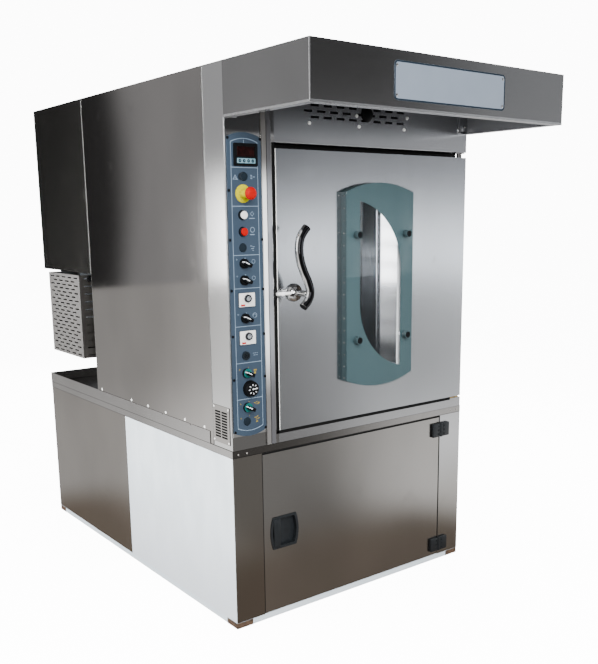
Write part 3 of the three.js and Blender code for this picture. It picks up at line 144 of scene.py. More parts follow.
# Sheet steel, brushed along one direction, with the broad tone drift and the handling marks of real panels.
# tone is the metal's colour, drift how far the tone wanders, mark how strong the smudges are.
sheetLooks = {
    "sideSteel": {"tone": (0.54, 0.515, 0.49), "grain": "z", "rough": 0.065, "drift": 0.06, "mark": 0.03},
    "columnSteel": {"tone": (0.92, 0.91, 0.89), "grain": "z", "rough": 0.11, "drift": 0.05, "mark": 0.03},
    "rearSteel": {"tone": (0.34, 0.33, 0.30), "grain": "z", "rough": 0.13, "drift": 0.10, "mark": 0.05},
    "coverSteel": {"tone": (0.62, 0.60, 0.58), "grain": "z", "rough": 0.34, "drift": 0.06, "mark": 0.04},
    "baseSteel": {"tone": (0.52, 0.49, 0.455), "grain": "z", "rough": 0.20, "drift": 0.07, "mark": 0.05},
    "deckSteel": {"tone": (0.60, 0.585, 0.57), "grain": "y", "rough": 0.22, "drift": 0.06, "mark": 0.05},
    "baseFrameSteel": {"tone": (0.46, 0.445, 0.42), "grain": "z", "rough": 0.20, "drift": 0.07, "mark": 0.05},
    "baseDoorSteel": {"tone": (0.48, 0.465, 0.445), "grain": "z", "rough": 0.20, "drift": 0.07, "mark": 0.05},
    "doorSteel": {"tone": (0.60, 0.62, 0.645), "grain": "z", "rough": 0.17, "drift": 0.05, "mark": 0.05},
    "hoodSteel": {"tone": (0.50, 0.495, 0.485), "grain": "x", "rough": 0.13, "drift": 0.06, "mark": 0.04},
    "frameSteel": {"tone": (0.58, 0.585, 0.595), "grain": "x", "rough": 0.22, "drift": 0.06, "mark": 0.04},
    "topSteel": {"tone": (0.56, 0.55, 0.53), "grain": "y", "rough": 0.28, "drift": 0.07, "mark": 0.06},
    "linerSteel": {"tone": (0.56, 0.58, 0.60), "grain": "z", "rough": 0.24, "drift": 0.10, "mark": 0.08},
    "innerSteel": {"tone": (0.58, 0.60, 0.63), "grain": "z", "rough": 0.22, "drift": 0.10, "mark": 0.08},
    "rackSteel": {"tone": (0.68, 0.66, 0.63), "grain": "z", "rough": 0.20, "drift": 0.08, "mark": 0.06},
    "zincSteel": {"tone": (0.50, 0.515, 0.52), "grain": "z", "rough": 0.42, "drift": 0.25, "mark": 0.12},
}
finishes = {}


def sheetFinish(name, look):
    finish = Finish(name, Metallic=1.0)
    along = {"x": (7, 900, 900), "y": (900, 7, 900), "z": (900, 900, 7)}[look["grain"]]
    lines = finish.cloud(finish.stretch(finish.at, along), 1.0, 3.0, 0.6)
    broad = finish.cloud(finish.stretch(finish.at, (1.3, 1.3, 0.9)), 2.0, 2.0)
    marks = finish.cloud(finish.at, 11.0, 5.0, 0.62).step(0.56, 0.78)
    dark = tuple(part * (1 - look["drift"] - 0.06) for part in look["tone"])
    light = tuple(min(1.0, part * (1 + look["drift"] + 0.06)) for part in look["tone"])
    wander = (broad - 0.5) * 1.5 + (lines - 0.5) * 0.3 + 0.5
    finish.colour = finish.mix(wander - marks * look["mark"], dark, light)
    finish.set(Base_Color=finish.colour,
               Roughness=look["rough"] + (lines - 0.5) * 0.07 + marks * look["mark"])
    finish.bump(lines, 0.012, 0.0003)
    finishes[name] = finish
    return finish


for name, look in sheetLooks.items():
    sheetFinish(name, look)


# Painted reflection on the column's two standing strips: the first near white and the second a duller grey, bright only
# in a painted highlight band at mid height; painted shade darkens the column's front at its foot and under the hood.
def columnStrips():
    finish = finishes["columnSteel"]
    x, y, z = finish.drawing()
    proud = 1 - y.step(-1.6, -1.0)
    pale = proud * (1 - (x - 163.8).step(0, 0.4))
    dull = proud * (x - 164.2).step(0, 0.4)
    # painted highlight band: the strips are bright between these heights and dark above and below
    middle = z.step(840, 1080) * (1 - z.step(1560, 1680))
    # painted shade on the column's front below the panel and under the hood
    front = (1 - y.step(0.5, 1.5)) * (1 - z.step(722, 726)).most(z.step(1745, 1765))
    colour = finish.mix(front * 0.85, finish.colour, (0.36, 0.35, 0.34))
    colour = finish.mix(pale, colour, finish.mix(middle, (0.14, 0.135, 0.13), (0.88, 0.88, 0.87)))
    colour = finish.mix(dull, colour, finish.mix(middle, (0.085, 0.085, 0.09), (0.23, 0.24, 0.26)))
    keeper = x.step(186.8, 187.4) * (1 - y.step(-1.2, -0.8))
    colour = finish.mix(keeper, colour, (0.004, 0.004, 0.004))
    finish.set(Base_Color=colour, Metallic=1 - ((pale + dull) * 0.75).most(keeper))


# The deck's rim and rail: painted shade darkens the fold between them and the underside below the rim, and the front
# rim and rail are painted darker, most at the left end.
def deckShade():
    finish = finishes["deckSteel"]
    x, y, z = finish.drawing()
    creaseShade = (1 - abs(z - 674.2).step(0.6, 1.1)).most(1 - z.step(648.2, 648.8))
    front = (1 - y.step(0.2, 0.6)) * (1 - x.step(60, 1000) * 0.8)
    rail = front * (1 - z.step(674, 675)) * 0.85
    colour = finish.mix(front * 0.6, finish.colour, (0.20, 0.195, 0.19))
    colour = finish.mix(rail, colour, (0.13, 0.12, 0.11))
    finish.set(Base_Color=finish.mix(creaseShade, colour, (0.03, 0.028, 0.026)))


# Inside the hood the steel is painted a soft grey, mostly non-metal, that the lamps light up: a painted stand-in for
# the steel's bright reflection.
def hoodInside():
    finish = finishes["hoodSteel"]
    x, y, z = finish.drawing()
    inside = (y + 458.6).step(0, 0.5) * (x - 3.4).step(0, 0.4) * (1 - (x - 1156.2).step(0, 0.4)) * (1 - z.step(1971.2, 1971.8))
    finish.set(Base_Color=finish.mix(inside, finish.colour, (0.24, 0.245, 0.26)), Metallic=1 - inside * 0.8)


# The right upright of the base's front frame is painted a pale bluish white that grows from 250 mm up, and the left one
# a darker brown.
def uprights():
    finish = finishes["baseFrameSteel"]
    x, y, z = finish.drawing()
    colour = finish.mix((1 - x.step(123, 124)) * 0.6, finish.colour, (0.30, 0.27, 0.235))
    finish.set(Base_Color=finish.mix(x.step(1030, 1036) * z.step(250, 600) * 0.6, colour, (0.92, 0.94, 0.98)))


# The chamber's right wall, though in the lamp's full light, is painted dark from 1040 mm across.
def darkenedWall():
    finish = finishes["linerSteel"]
    x, y, z = finish.drawing()
    finish.set(Base_Color=finish.mix(x.step(1040, 1060) * 0.9, finish.colour, (0.10, 0.11, 0.125)))


# The latch's guide on the door carries a painted highlight, the rod's bright line, between dull grey cheeks.
def latchGuide():
    finish = finishes["doorSteel"]
    x, y, z = finish.drawing()
    guide = 1 - y.step(-2.0, -1.6)
    # painted highlight: the rod's bright line across the guide
    line = 1 - abs(z - 1215).step(5.5, 6.5)
    tone = finish.mix(line, (0.22, 0.225, 0.235), (0.86, 0.86, 0.86))
    finish.set(Base_Color=finish.mix(guide, finish.colour, tone), Metallic=1 - guide)


columnStrips()
deckShade()
hoodInside()
uprights()
darkenedWall()
latchGuide()

# Plastics, paints and rubber: a colour, a slight cloud of a second tone and a fine moulded grain.
softLooks = {
    # The black of knobs and caps also makes the painted shade sheet behind the lintel's slots.
    "blackPlastic": {"tone": (0.002, 0.0022, 0.0025), "second": (0.004, 0.0044, 0.005), "rough": 0.40, "grain": 0.25,
                     "gloss": 0.09},
    "blockBlack": {"tone": (0.005, 0.006, 0.007), "second": (0.012, 0.014, 0.016), "rough": 0.42, "grain": 0.3},
    "plugBlue": {"tone": (0.006, 0.010, 0.014), "second": (0.010, 0.015, 0.020), "rough": 0.60, "grain": 0.25,
                 "gloss": 0.04},
    "redPlastic": {"tone": (0.25, 0.0012, 0.0008), "second": (0.31, 0.002, 0.0015), "rough": 0.42, "grain": 0.12,
                   "gloss": 0.12},
    "yellowPlastic": {"tone": (0.34, 0.30, 0.0), "second": (0.40, 0.35, 0.0), "rough": 0.5, "grain": 0.12,
                      "gloss": 0.02},
    "whitePlastic": {"tone": (0.56, 0.56, 0.55), "second": (0.64, 0.64, 0.63), "rough": 0.32, "grain": 0.12},
    "tealPlastic": {"tone": (0.0, 0.060, 0.056), "second": (0.001, 0.080, 0.074), "rough": 0.30, "grain": 0.12,
                    "gloss": 0.3},
    # The smoked plastic of the timer knobs also makes the painted shadow frame behind the timer faces.
    "smokePlastic": {"tone": (0.006, 0.007, 0.009), "second": (0.012, 0.013, 0.016), "rough": 0.30, "grain": 0.12,
                     "gloss": 0.2},
    "rimPaint": {"tone": (0.030, 0.052, 0.058), "second": (0.042, 0.068, 0.075), "rough": 0.38, "grain": 0.2},
    "greyPlastic": {"tone": (0.16, 0.175, 0.19), "second": (0.24, 0.255, 0.27), "rough": 0.22, "grain": 0.12},
    "keyBlue": {"tone": (0.10, 0.20, 0.25), "second": (0.14, 0.26, 0.31), "rough": 0.45, "grain": 0.2},
    "paleInk": {"tone": (0.165, 0.225, 0.30), "second": (0.20, 0.27, 0.355), "rough": 0.5, "grain": 0.1},
    "yellowInk": {"tone": (0.20, 0.14, 0.012), "second": (0.28, 0.20, 0.02), "rough": 0.5, "grain": 0.1},
    "whiteInk": {"tone": (0.50, 0.52, 0.54), "second": (0.60, 0.62, 0.64), "rough": 0.45, "grain": 0.1},
    "redInk": {"tone": (0.28, 0.006, 0.006), "second": (0.34, 0.01, 0.01), "rough": 0.45, "grain": 0.1},
    "blueInk": {"tone": (0.006, 0.010, 0.015), "second": (0.009, 0.014, 0.020), "rough": 0.5, "grain": 0.1,
                "gloss": 0.08},
    # Near-white paint on steel dome screws, the latch rod and the door's edge is a painted highlight; the dull grey of
    # the front rail's rivets is painted shade.
    "domeWhite": {"tone": (0.78, 0.78, 0.76), "second": (0.86, 0.86, 0.84), "rough": 0.25, "grain": 0.05},
    "domeDull": {"tone": (0.19, 0.18, 0.17), "second": (0.25, 0.235, 0.22), "rough": 0.5, "grain": 0.05,
                 "gloss": 0.15},
    # The door gasket's black rubber also makes the painted shade sheets in the casing's gaps.
    "sealRubber": {"tone": (0.003, 0.003, 0.003), "second": (0.006, 0.006, 0.006), "rough": 0.66, "grain": 0.5,
                   "gloss": 0.08},
    "motorPaint": {"tone": (0.105, 0.12, 0.135), "second": (0.15, 0.165, 0.18), "rough": 0.48, "grain": 0.6},
}


def softFinish(name, look):
    finish = Finish(name, Specular_IOR_Level=look.get("gloss", 0.5))
    fine = finish.cloud(finish.at, 1400.0, 3.0, 0.6)
    broad = finish.cloud(finish.at, 60.0, 3.0)
    finish.colour = finish.mix(broad, look["tone"], look["second"])
    finish.set(Base_Color=finish.colour, Roughness=look["rough"] + (broad - 0.5) * 0.16)
    finish.bump(fine, look["grain"] * 0.5, 0.0003)
    finishes[name] = finish
    return finish


for name, look in softLooks.items():
    softFinish(name, look)


# Painted highlight: behind the pane's right edge the window's rim is painted a pale white.
def paintedRimHighlight():
    finish = finishes["rimPaint"]
    x, y, z = finish.drawing()
    rimGleam = x.step(776, 777) * (1 - x.step(812, 813)) * y.step(-20, -19)
    finish.set(Base_Color=finish.mix(rimGleam, finish.colour, (0.86, 0.89, 0.92)))


paintedRimHighlight()


# Bright turned metal with faint polishing marks.
def polished(name, tone, rough, stain=0.06):
    finish = Finish(name, Metallic=1.0)
    haze = finish.cloud(finish.at, 38.0, 4.0, 0.6)
    scratch = finish.cloud(finish.stretch(finish.at, (260, 260, 1900)), 1.0, 2.0)
    dark = tuple(part * (1 - stain * 2) for part in tone)
    finish.colour = finish.mix(haze.step(0.3, 0.7), tone, dark)
    finish.set(Base_Color=finish.colour, Roughness=rough + haze * 0.06 + (scratch - 0.5) * 0.04)
    finish.bump(scratch, 0.02, 0.0002)
    finishes[name] = finish


# Chrome with a painted dark reflection on the side away from the light and along the opposite edge, as round bright
# bars show it.
def shadedChrome(name, low, high, shade):
    polished(name, (0.86, 0.85, 0.84), 0.03)
    finish = finishes[name]
    x, y, z = finish.axes(finish.node("TexCoord", None, None, "Normal"))
    across = x * 0.787 - y * 0.617
    dark = across.step(low, high).most(1 - across.step(-0.85, -0.68))
    finish.set(Base_Color=finish.mix(dark, finish.colour, shade))


shadedChrome("barChrome", -0.14, 0.04, (0.035, 0.035, 0.038))
shadedChrome("roseChrome", 0.36, 0.58, (0.13, 0.105, 0.085))
polished("chrome", (0.80, 0.79, 0.77), 0.05)
polished("screwSteel", (0.78, 0.77, 0.75), 0.16)
polished("trimSteel", (0.80, 0.80, 0.80), 0.20)
polished("brassMetal", (0.68, 0.50, 0.22), 0.22)


# White protective film on the steel: faint wrinkles painted a little darker in their hollows as painted shade, a few
# pressed bubbles and a cool cast.
filmLook = {"tone": (0.85, 0.93, 0.98), "shade": (0.76, 0.84, 0.89), "foot": (0.62, 0.66, 0.71), "rough": 0.42}


def protectiveFilm(name, look):
    finish = Finish(name, Coat_Weight=0.25, Coat_Roughness=0.25)
    x, y, z = finish.axes(finish.at)
    wrinkle = finish.cloud(finish.stretch(finish.at, (3, 5, 2.2)), 2.2, 4.0, 0.55)
    crease = abs(finish.cloud(finish.stretch(finish.at, (2, 9, 1.4)), 3.0, 2.0) - 0.5).step(0.0, 0.02)
    bubble = finish.cloud(finish.at, 55.0, 2.0).step(0.66, 0.74)
    colour = finish.mix(wrinkle.step(0.35, 0.65), look["shade"], look["tone"])
    # painted shade: the film darkens towards the floor
    finish.set(Base_Color=finish.mix((1 - z.step(0.04, 0.52)) * 0.8, colour, look["foot"]),
               Roughness=look["rough"] + (wrinkle - 0.5) * 0.2)
    finish.bump(wrinkle * 0.6 + bubble * 0.12 + crease * 0.10, 0.25, 0.002)
    finishes[name] = finish


protectiveFilm("film", filmLook)

# The plinth strip is covered with the same film; the angled foot plates at its corners are brown with grime.
plinthLook = {"footLong": 70, "footTop": 23, "brown": (0.095, 0.060, 0.038), "dark": (0.045, 0.030, 0.022)}


def plinthFinish(look):
    finish = Finish("plinthStrip", Roughness=0.5)
    x, y, z = finish.drawing()
    fromSide = (580 - abs(x - 580)).least(60000)
    fromEnd = (845 - abs(y - 845)).least(60000)
    foot = (1 - fromSide.step(look["footLong"] - 1, look["footLong"] + 1)) \
        * (1 - fromEnd.step(look["footLong"] - 1, look["footLong"] + 1)) \
        * (1 - (z - look["footTop"]).step(-0.8, 0.2))
    grime = finish.cloud(finish.at, 46.0, 5.0, 0.65)
    strip = finish.mix(finish.cloud(finish.at, 9.0, 4.0), (0.56, 0.66, 0.74), (0.74, 0.80, 0.84))
    brown = finish.mix(grime.step(0.35, 0.65), look["brown"], look["dark"])
    finish.set(Base_Color=finish.mix(foot, strip, brown), Roughness=0.5 + foot * 0.2 + (grime - 0.5) * 0.2)
    finish.bump(grime, 0.2, 0.0006)
    finishes["plinthStrip"] = finish


plinthFinish(plinthLook)


# Blue-grey printed overlay with the fine pebble of polycarbonate film.
def overlayFinish():
    finish = Finish("overlay", Specular_IOR_Level=0.4)
    pebble = finish.node("TexVoronoi", {"feature": "F1"}, {"Vector": finish.at, "Scale": 900.0})
    broad = finish.cloud(finish.at, 7.0, 3.0)
    x, y, z = finish.drawing()
    plug = 1 - y.step(-3.75, -3.5)
    film = finish.mix(broad, (0.021, 0.033, 0.051), (0.029, 0.045, 0.066))
    finish.set(Base_Color=finish.mix(plug, film, (0.007, 0.011, 0.015)), Roughness=0.42 + (broad - 0.5) * 0.12)
    finish.bump(pebble, 0.15, 0.0002)
    finishes["overlay"] = finish


overlayFinish()


# Oxidised sheath of the heating elements and the painted enamel near it.
def elementFinish():
    finish = Finish("elementSheath", Metallic=0.6)
    heat = finish.cloud(finish.at, 24.0, 4.0, 0.6)
    tone = finish.node("ValToRGB", {"stops": [(0.30, (0.030, 0.028, 0.032)), (0.52, (0.075, 0.060, 0.055)),
                                              (0.72, (0.13, 0.085, 0.055))]}, {0: heat})
    finish.set(Base_Color=tone, Roughness=0.42 + heat * 0.2)
    finish.bump(finish.cloud(finish.at, 600.0, 2.0), 0.2, 0.0003)
    finishes["elementSheath"] = finish


elementFinish()


# Clear pane, printed layer behind it, and the white enamel of the nameplate.
def paneFinish(name, haze, tone):
    finish = Finish(name, Metallic=1.0)
    smear = finish.cloud(finish.stretch(finish.at, (4, 4, 1.5)), 4.0, 4.0, 0.6)
    glance = finish.node("Fresnel", None, {"IOR": 1.07})
    finish.set(Base_Color=finish.mix(smear, tone, tuple(part * 0.8 for part in tone)),
               Roughness=0.02 + smear.step(0.5, 0.8) * 0.05, Alpha=glance + haze + smear.step(0.45, 0.9) * 0.02)
    finishes[name] = finish


paneFinish("clearPane", 0.006, (0.88, 0.95, 0.96))
paneFinish("innerPane", 0.015, (0.80, 0.88, 0.92))


def printFinish():
    finish = Finish("glassPrint", Specular_IOR_Level=0.3)
    speck = finish.cloud(finish.at, 120.0, 4.0)
    broad = finish.cloud(finish.stretch(finish.at, (9, 9, 1.2)), 2.0, 2.0)
    finish.set(Base_Color=finish.mix((speck - 0.5) * 0.5 + broad, (0.030, 0.055, 0.062), (0.042, 0.074, 0.082)),
               Roughness=0.40 + (speck - 0.5) * 0.1, Alpha=0.96 + speck * 0.04)
    finishes["glassPrint"] = finish


printFinish()


def plateEnamel():
    finish = Finish("plateEnamel", Coat_Weight=0.2)
    broad = finish.cloud(finish.at, 12.0, 4.0)
    finish.set(Base_Color=finish.mix(broad, (0.105, 0.125, 0.155), (0.125, 0.148, 0.18)),
               Roughness=0.34 + (broad - 0.5) * 0.14)
    finish.bump(finish.cloud(finish.at, 500.0, 2.0), 0.06, 0.0002)
    finishes["plateEnamel"] = finish


plateEnamel()

# The small display is dark red-black acrylic with the ghost of its unlit segments.
def displayFinish():
    finish = Finish("display", Coat_Weight=0.15, Coat_Roughness=0.06, Specular_IOR_Level=0.2)
    broad = finish.cloud(finish.stretch(finish.at, (160, 160, 60)), 1.0, 3.0)
    finish.set(Base_Color=finish.mix(broad.step(0.4, 0.7), (0.003, 0.0005, 0.0005), (0.014, 0.002, 0.002)),
               Roughness=0.16 + broad * 0.08)
    finishes["display"] = finish


displayFinish()
print("finishes:", len(finishes))


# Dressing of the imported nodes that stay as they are.
nodeFinishes = {
    "plinth": "plinthStrip", "base_frame": "zincSteel", "base_deck": "deckSteel",
    "base_front_frame": "baseFrameSteel", "base_panel_left_front": "film", "base_panel_left_rear": "baseSteel",
    "base_panel_right": "baseSteel", "base_panel_back": "baseSteel", "base_door": "baseDoorSteel",
    "side_panel_left": "sideSteel", "side_panel_right": "sideSteel", "top_panel": "topSteel",
    "back_panel": "topSteel", "control_column": "columnSteel", "vent_plate": "sideSteel",
    "front_frame": "frameSteel", "chamber_liner": "linerSteel", "air_duct_wall": "linerSteel",
    "rack_frame": "rackSteel", "turntable": "zincSteel", "gearmotor": "motorPaint", "rear_housing": "rearSteel",
    "motor_cover": "coverSteel", "fan_motor": "motorPaint", "fan_wheel": "zincSteel",
    "heating_elements": "elementSheath", "hood": "hoodSteel", "panel_plate": "overlay",
    "door_skin": "doorSteel", "door_pan": "innerSteel", "window_inner_glass": "innerPane",
    "door_gasket": "sealRubber", "window_frame": "rimPaint", "door_hinge_upper": "chrome",
    "door_hinge_lower": "brassMetal",
}
for name, finishName in nodeFinishes.items():
    for place in nodes[name].material_slots:
        place.material = finishes[finishName].material


# Mesh work: shapes are gathered in one mesh, each with its own finish, and leave it as one piece.
facings = {
    "front": Matrix(((1, 0, 0), (0, 0, -1), (0, 1, 0))), "back": Matrix(((-1, 0, 0), (0, 0, 1), (0, 1, 0))),
    "left": Matrix(((0, 0, -1), (-1, 0, 0), (0, 1, 0))), "right": Matrix(((0, 0, 1), (1, 0, 0), (0, 1, 0))),
    "up": Matrix(((1, 0, 0), (0, 1, 0), (0, 0, 1))), "down": Matrix(((1, 0, 0), (0, -1, 0), (0, 0, -1))),
}


class Work:
    def __init__(self):
        self.mesh = bmesh.new()
        self.layers = []
        self.layer = 0

    def use(self, finishName):
        if finishName not in self.layers:
            self.layers.append(finishName)
        self.layer = self.layers.index(finishName)
        return self

    def faces(self, points, loops):
        made = [self.mesh.verts.new(point) for point in points]
        for loop in loops:
            self.mesh.faces.new([made[i] for i in loop]).material_index = self.layer

    # profile points are (radius, height), from the axis outwards and back to the axis
    def turned(self, profile, middle, facing, sides=32):
        turn = facings[facing]
        points, rings = [], []
        for radius, height in profile:
            count = 1 if radius < 1e-6 else sides
            rings.append([len(points) + i for i in range(count)])
            for i in range(count):
                angle = 2 * math.pi * i / sides
                local = Vector((radius * math.cos(angle), radius * math.sin(angle), height)) / 1000
                points.append(spot(*middle) + turn @ local)
        loops = []
        for low, high in zip(rings, rings[1:]):
            for i in range(sides):
                j = (i + 1) % sides
                loop = [low[i % len(low)], low[j % len(low)], high[j % len(high)], high[i % len(high)]]
                loops.append(list(dict.fromkeys(loop)))
        self.faces(points, [loop for loop in loops if len(loop) > 2])
        return self

    def block(self, low, high, soft=0.8, steps=2):
        lowest, highest = spot(*low), spot(*high)
        size = highest - lowest
        made = bmesh.ops.create_cube(self.mesh, size=1.0,
                                     matrix=Matrix.Translation((lowest + highest) / 2) @ Matrix.Diagonal((*size, 1)))
        edges = {edge for vert in made["verts"] for edge in vert.link_edges}
        faces = {face for vert in made["verts"] for face in vert.link_faces}
        for face in faces:
            face.material_index = self.layer
        if soft:
            bevelled = bmesh.ops.bevel(self.mesh, geom=list(edges), offset=min(soft / 1000, min(size) * 0.45),
                                       segments=steps, profile=0.5, affect="EDGES")
            for face in bevelled["faces"]:
                face.material_index = self.layer
        return self

    # a plate facing the front from closed outlines in x and z; the first is its edge, the rest are holes
    def plate(self, outlines, front, back, soft=0.0, turn=None):
        curve = bpy.data.curves.new("outline", "CURVE")
        curve.dimensions, curve.fill_mode = "2D", "BOTH"
        curve.extrude = (back - front) / 2000 - soft / 1000
        curve.bevel_depth, curve.bevel_resolution, curve.offset = soft / 1000, 2, -soft / 1000
        for outline in outlines:
            spline = curve.splines.new("POLY")
            spline.points.add(len(outline) - 1)
            for point, (x, z) in zip(spline.points, outline):
                point.co = (x / 1000, z / 1000, 0, 1)
            spline.use_cyclic_u = True
        shape = bpy.data.objects.new("outline", curve)
        bpy.context.scene.collection.objects.link(shape)
        made = bpy.data.meshes.new_from_object(shape.evaluated_get(bpy.context.evaluated_depsgraph_get()))
        middle = Vector((corner.x, corner.y + (front + back) / 2000, 0))
        made.transform(Matrix.Translation(middle) @ facings["front"].to_4x4())
        for face in made.polygons:
            face.material_index = self.layer
        if turn:
            pivot, angle = turn
            about = Matrix.Translation(spot(*pivot))
            made.transform(about @ Matrix.Rotation(angle, 4, "Y") @ about.inverted())
        self.mesh.from_mesh(made)
        bpy.data.objects.remove(shape)
        bpy.data.curves.remove(curve)
        bpy.data.meshes.remove(made)
        return self

    # a round bar along a smooth path, with softened ends
    def bar(self, path, radius, sides=28, steps=10, soft=1.2):
        line = []
        for i in range(len(path) - 1):
            a, b = path[max(i - 1, 0)], path[i]
            c, d = path[i + 1], path[min(i + 2, len(path) - 1)]
            for k in range(steps):
                t = k / steps
                line.append(0.5 * (2 * b + (c - a) * t + (2 * a - 5 * b + 4 * c - d) * t * t
                                   + (3 * b - a - 3 * c + d) * t ** 3))
        line.append(path[-1])
        first, last = (line[1] - line[0]).normalized(), (line[-1] - line[-2]).normalized()
        line = [line[0], line[0] + first * soft, *line[1:-1], line[-1] - last * soft, line[-1]]
        radii = [radius - soft, *[radius] * (len(line) - 2), radius - soft]
        across = first.orthogonal().normalized()
        points, loops = [], []
        for i, centre in enumerate(line):
            ahead = (line[min(i + 1, len(line) - 1)] - line[max(i - 1, 0)]).normalized()
            across = (across - ahead * across.dot(ahead)).normalized()
            other = ahead.cross(across)
            for k in range(sides):
                angle = 2 * math.pi * k / sides
                points.append(spot(*(centre + radii[i] * (across * math.cos(angle) + other * math.sin(angle)))))
        for i in range(len(line) - 1):
            for k in range(sides):
                j = (k + 1) % sides
                loops.append([i * sides + k, i * sides + j, (i + 1) * sides + j, (i + 1) * sides + k])
        loops += [list(range(sides)), list(range(len(points) - sides, len(points)))]
        self.faces(points, loops)
        return self

    def piece(self, name, body, slot, replaces=(), sharp=32):
        bmesh.ops.recalc_face_normals(self.mesh, faces=self.mesh.faces)
        for face in self.mesh.faces:
            face.smooth = True
        for edge in self.mesh.edges:
            edge.smooth = len(edge.link_faces) != 2 or edge.calc_face_angle(0) < math.radians(sharp)
        data = bpy.data.meshes.new(name)
        self.mesh.to_mesh(data)
        self.mesh.free()
        made = bpy.data.objects.new(name, data)
        for finishName in self.layers:
            data.materials.append(finishes[finishName].material)
        bpy.context.scene.collection.objects.link(made)
        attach(made, body)
        if replaces:
            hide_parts(*replaces)
        return made


def roundedOutline(x0, x1, z0, z1, radius, steps=6):
    points = []
    for cx, cz, start in ((x1 - radius, z0 + radius, -90), (x1 - radius, z1 - radius, 0),
                          (x0 + radius, z1 - radius, 90), (x0 + radius, z0 + radius, 180)):
        for i in range(steps + 1):
            angle = math.radians(start + 90 * i / steps)
            points.append((cx + radius * math.cos(angle), cz + radius * math.sin(angle)))
    return points


# upright plate whose top and bottom edges bow outwards by arch
def archedOutline(x0, x1, z0, z1, arch, steps=16):
    half = (x1 - x0) / 2
    radius = (half * half + arch * arch) / (2 * arch)
    swing = math.asin(half / radius)
    middle = (x0 + x1) / 2
    turns = [-swing + 2 * swing * i / steps for i in range(steps + 1)]
    low = [(middle + radius * math.sin(turn), z0 - arch + radius - radius * math.cos(turn)) for turn in turns]
    high = [(middle - radius * math.sin(turn), z1 + arch - radius + radius * math.cos(turn)) for turn in turns]
    return low + high


# a round head with a small hexagon socket
def screw(work, middle, facing, radius, rise):
    work.turned([(0, rise * 0.35), (radius * 0.34, rise * 0.35), (radius * 0.40, rise),
                 (radius * 0.62, rise * 0.96), (radius * 0.84, rise * 0.72), (radius * 0.97, rise * 0.3),
                 (radius, 0), (0, 0)], middle, facing, 18)


def screwSet(name, places, facing, radius, rise, finishName, body, slot):
    work = Work().use(finishName)
    for middle in places:
        screw(work, middle, facing, radius, rise)
    return work.piece(name, body, slot)


# Door handle: an S-shaped bar on a spindle, over a domed rosette, with the latch rod behind it.
handle = {
    "x": 275, "z": 1214, "out": 90, "bar": 15, "spindle": 8,
    "path": ((-7, 229), (-25, 209), (-37, 185), (-40.5, 150), (-34, 112), (-20, 76), (-4, 44), (5.5, 14),
             (3, -8), (-8, -27), (-26, -43)),
    "rosette": 33, "rosetteOut": 24,
}


def makeHandle():
    x, z, out = handle["x"], handle["z"], handle["out"]
    path = [Vector((x + dx, -out, z + dz)) for dx, dz in handle["path"]]
    grip = Work().use("barChrome").bar(path, handle["bar"], 32, 8)
    grip.use("chrome")
    grip.turned([(0, 0), (8, 0), (8, out - 8), (0, out - 8)], (x, 0, z), "front", 24)
    grip.turned([(8.2, 32), (11, 32.5), (11, 74), (9.6, 80), (8.2, 80)], (x, 0, z), "front", 28)
    for end, inner in ((path[0], path[1]), (path[-1], path[-2])):
        away = (end - inner).normalized()
        grip.use("blackPlastic").bar([end - away * 0.5, end + away * 1.4], handle["bar"] - 0.3, 32, 2, 0.6)
    grip.piece("handleBar", "door_handle", "chrome", ["door_handle"])

    r, top = handle["rosette"], handle["rosetteOut"]
    rose = Work().use("roseChrome")
    rose.turned([(8.4, 0.4), (r, 0.4), (r, 3.6), (r * 0.985, 5.2), (r * 0.95, 9), (r * 0.88, 13.4), (r * 0.76, 17.6),
                 (r * 0.6, 20.9), (r * 0.46, 22.9), (14.5, top - 0.4), (12.4, top), (12, top + 6.2), (11.4, top + 7),
                 (8.4, top + 7), (8.4, 0.4)], (x, 0, z), "front", 48)
    rose.piece("rosette", "oven_door", "chrome", ["handle_rosette"])

    # the latch rod's near-white is a painted highlight
    rod = Work().use("domeWhite")
    low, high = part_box("latch_bolt")
    left, right = (low.x - corner.x) * 1000, (high.x - corner.x) * 1000
    rod.bar([Vector((left, -14, z)), Vector(((left + right) / 2, -14, z)), Vector((right, -14, z))], 6, 24, 2, 0.8)
    rod.piece("latchRod", "latch_bolt", "chrome", ["latch_bolt"])


makeHandle()

# The window: a clear pane with arched ends in front of a printed layer that leaves a leaf-shaped view.
window = {
    "x0": 496, "x1": 836, "z0": 867, "z1": 1567, "arch": 35, "front": -34, "back": -28,
    "studX": (542, 790), "studZ": (1021, 1412), "studFace": -54.3,
    "viewLeft": 563, "viewRight": 772, "viewTop": 1534, "viewBottom": 901, "viewRadius": 262,
}


# two arcs of one radius, turned about the middle of the view
def viewOutline():
    w = window
    r = w["viewRadius"]
    right, left = w["viewRight"], w["viewLeft"]
    drop = math.sqrt(r * r - (r - (right - left)) ** 2)
    points = []
    for i in range(25):
        t = i / 24
        angle = math.asin(drop / r) * t
        points.append((right - r + r * math.cos(angle), w["viewTop"] - drop + r * math.sin(angle)))
    middle = ((left + right) / 2, (w["viewTop"] + w["viewBottom"]) / 2)
    other = [(2 * middle[0] - x, 2 * middle[1] - z) for x, z in points]
    return points + other


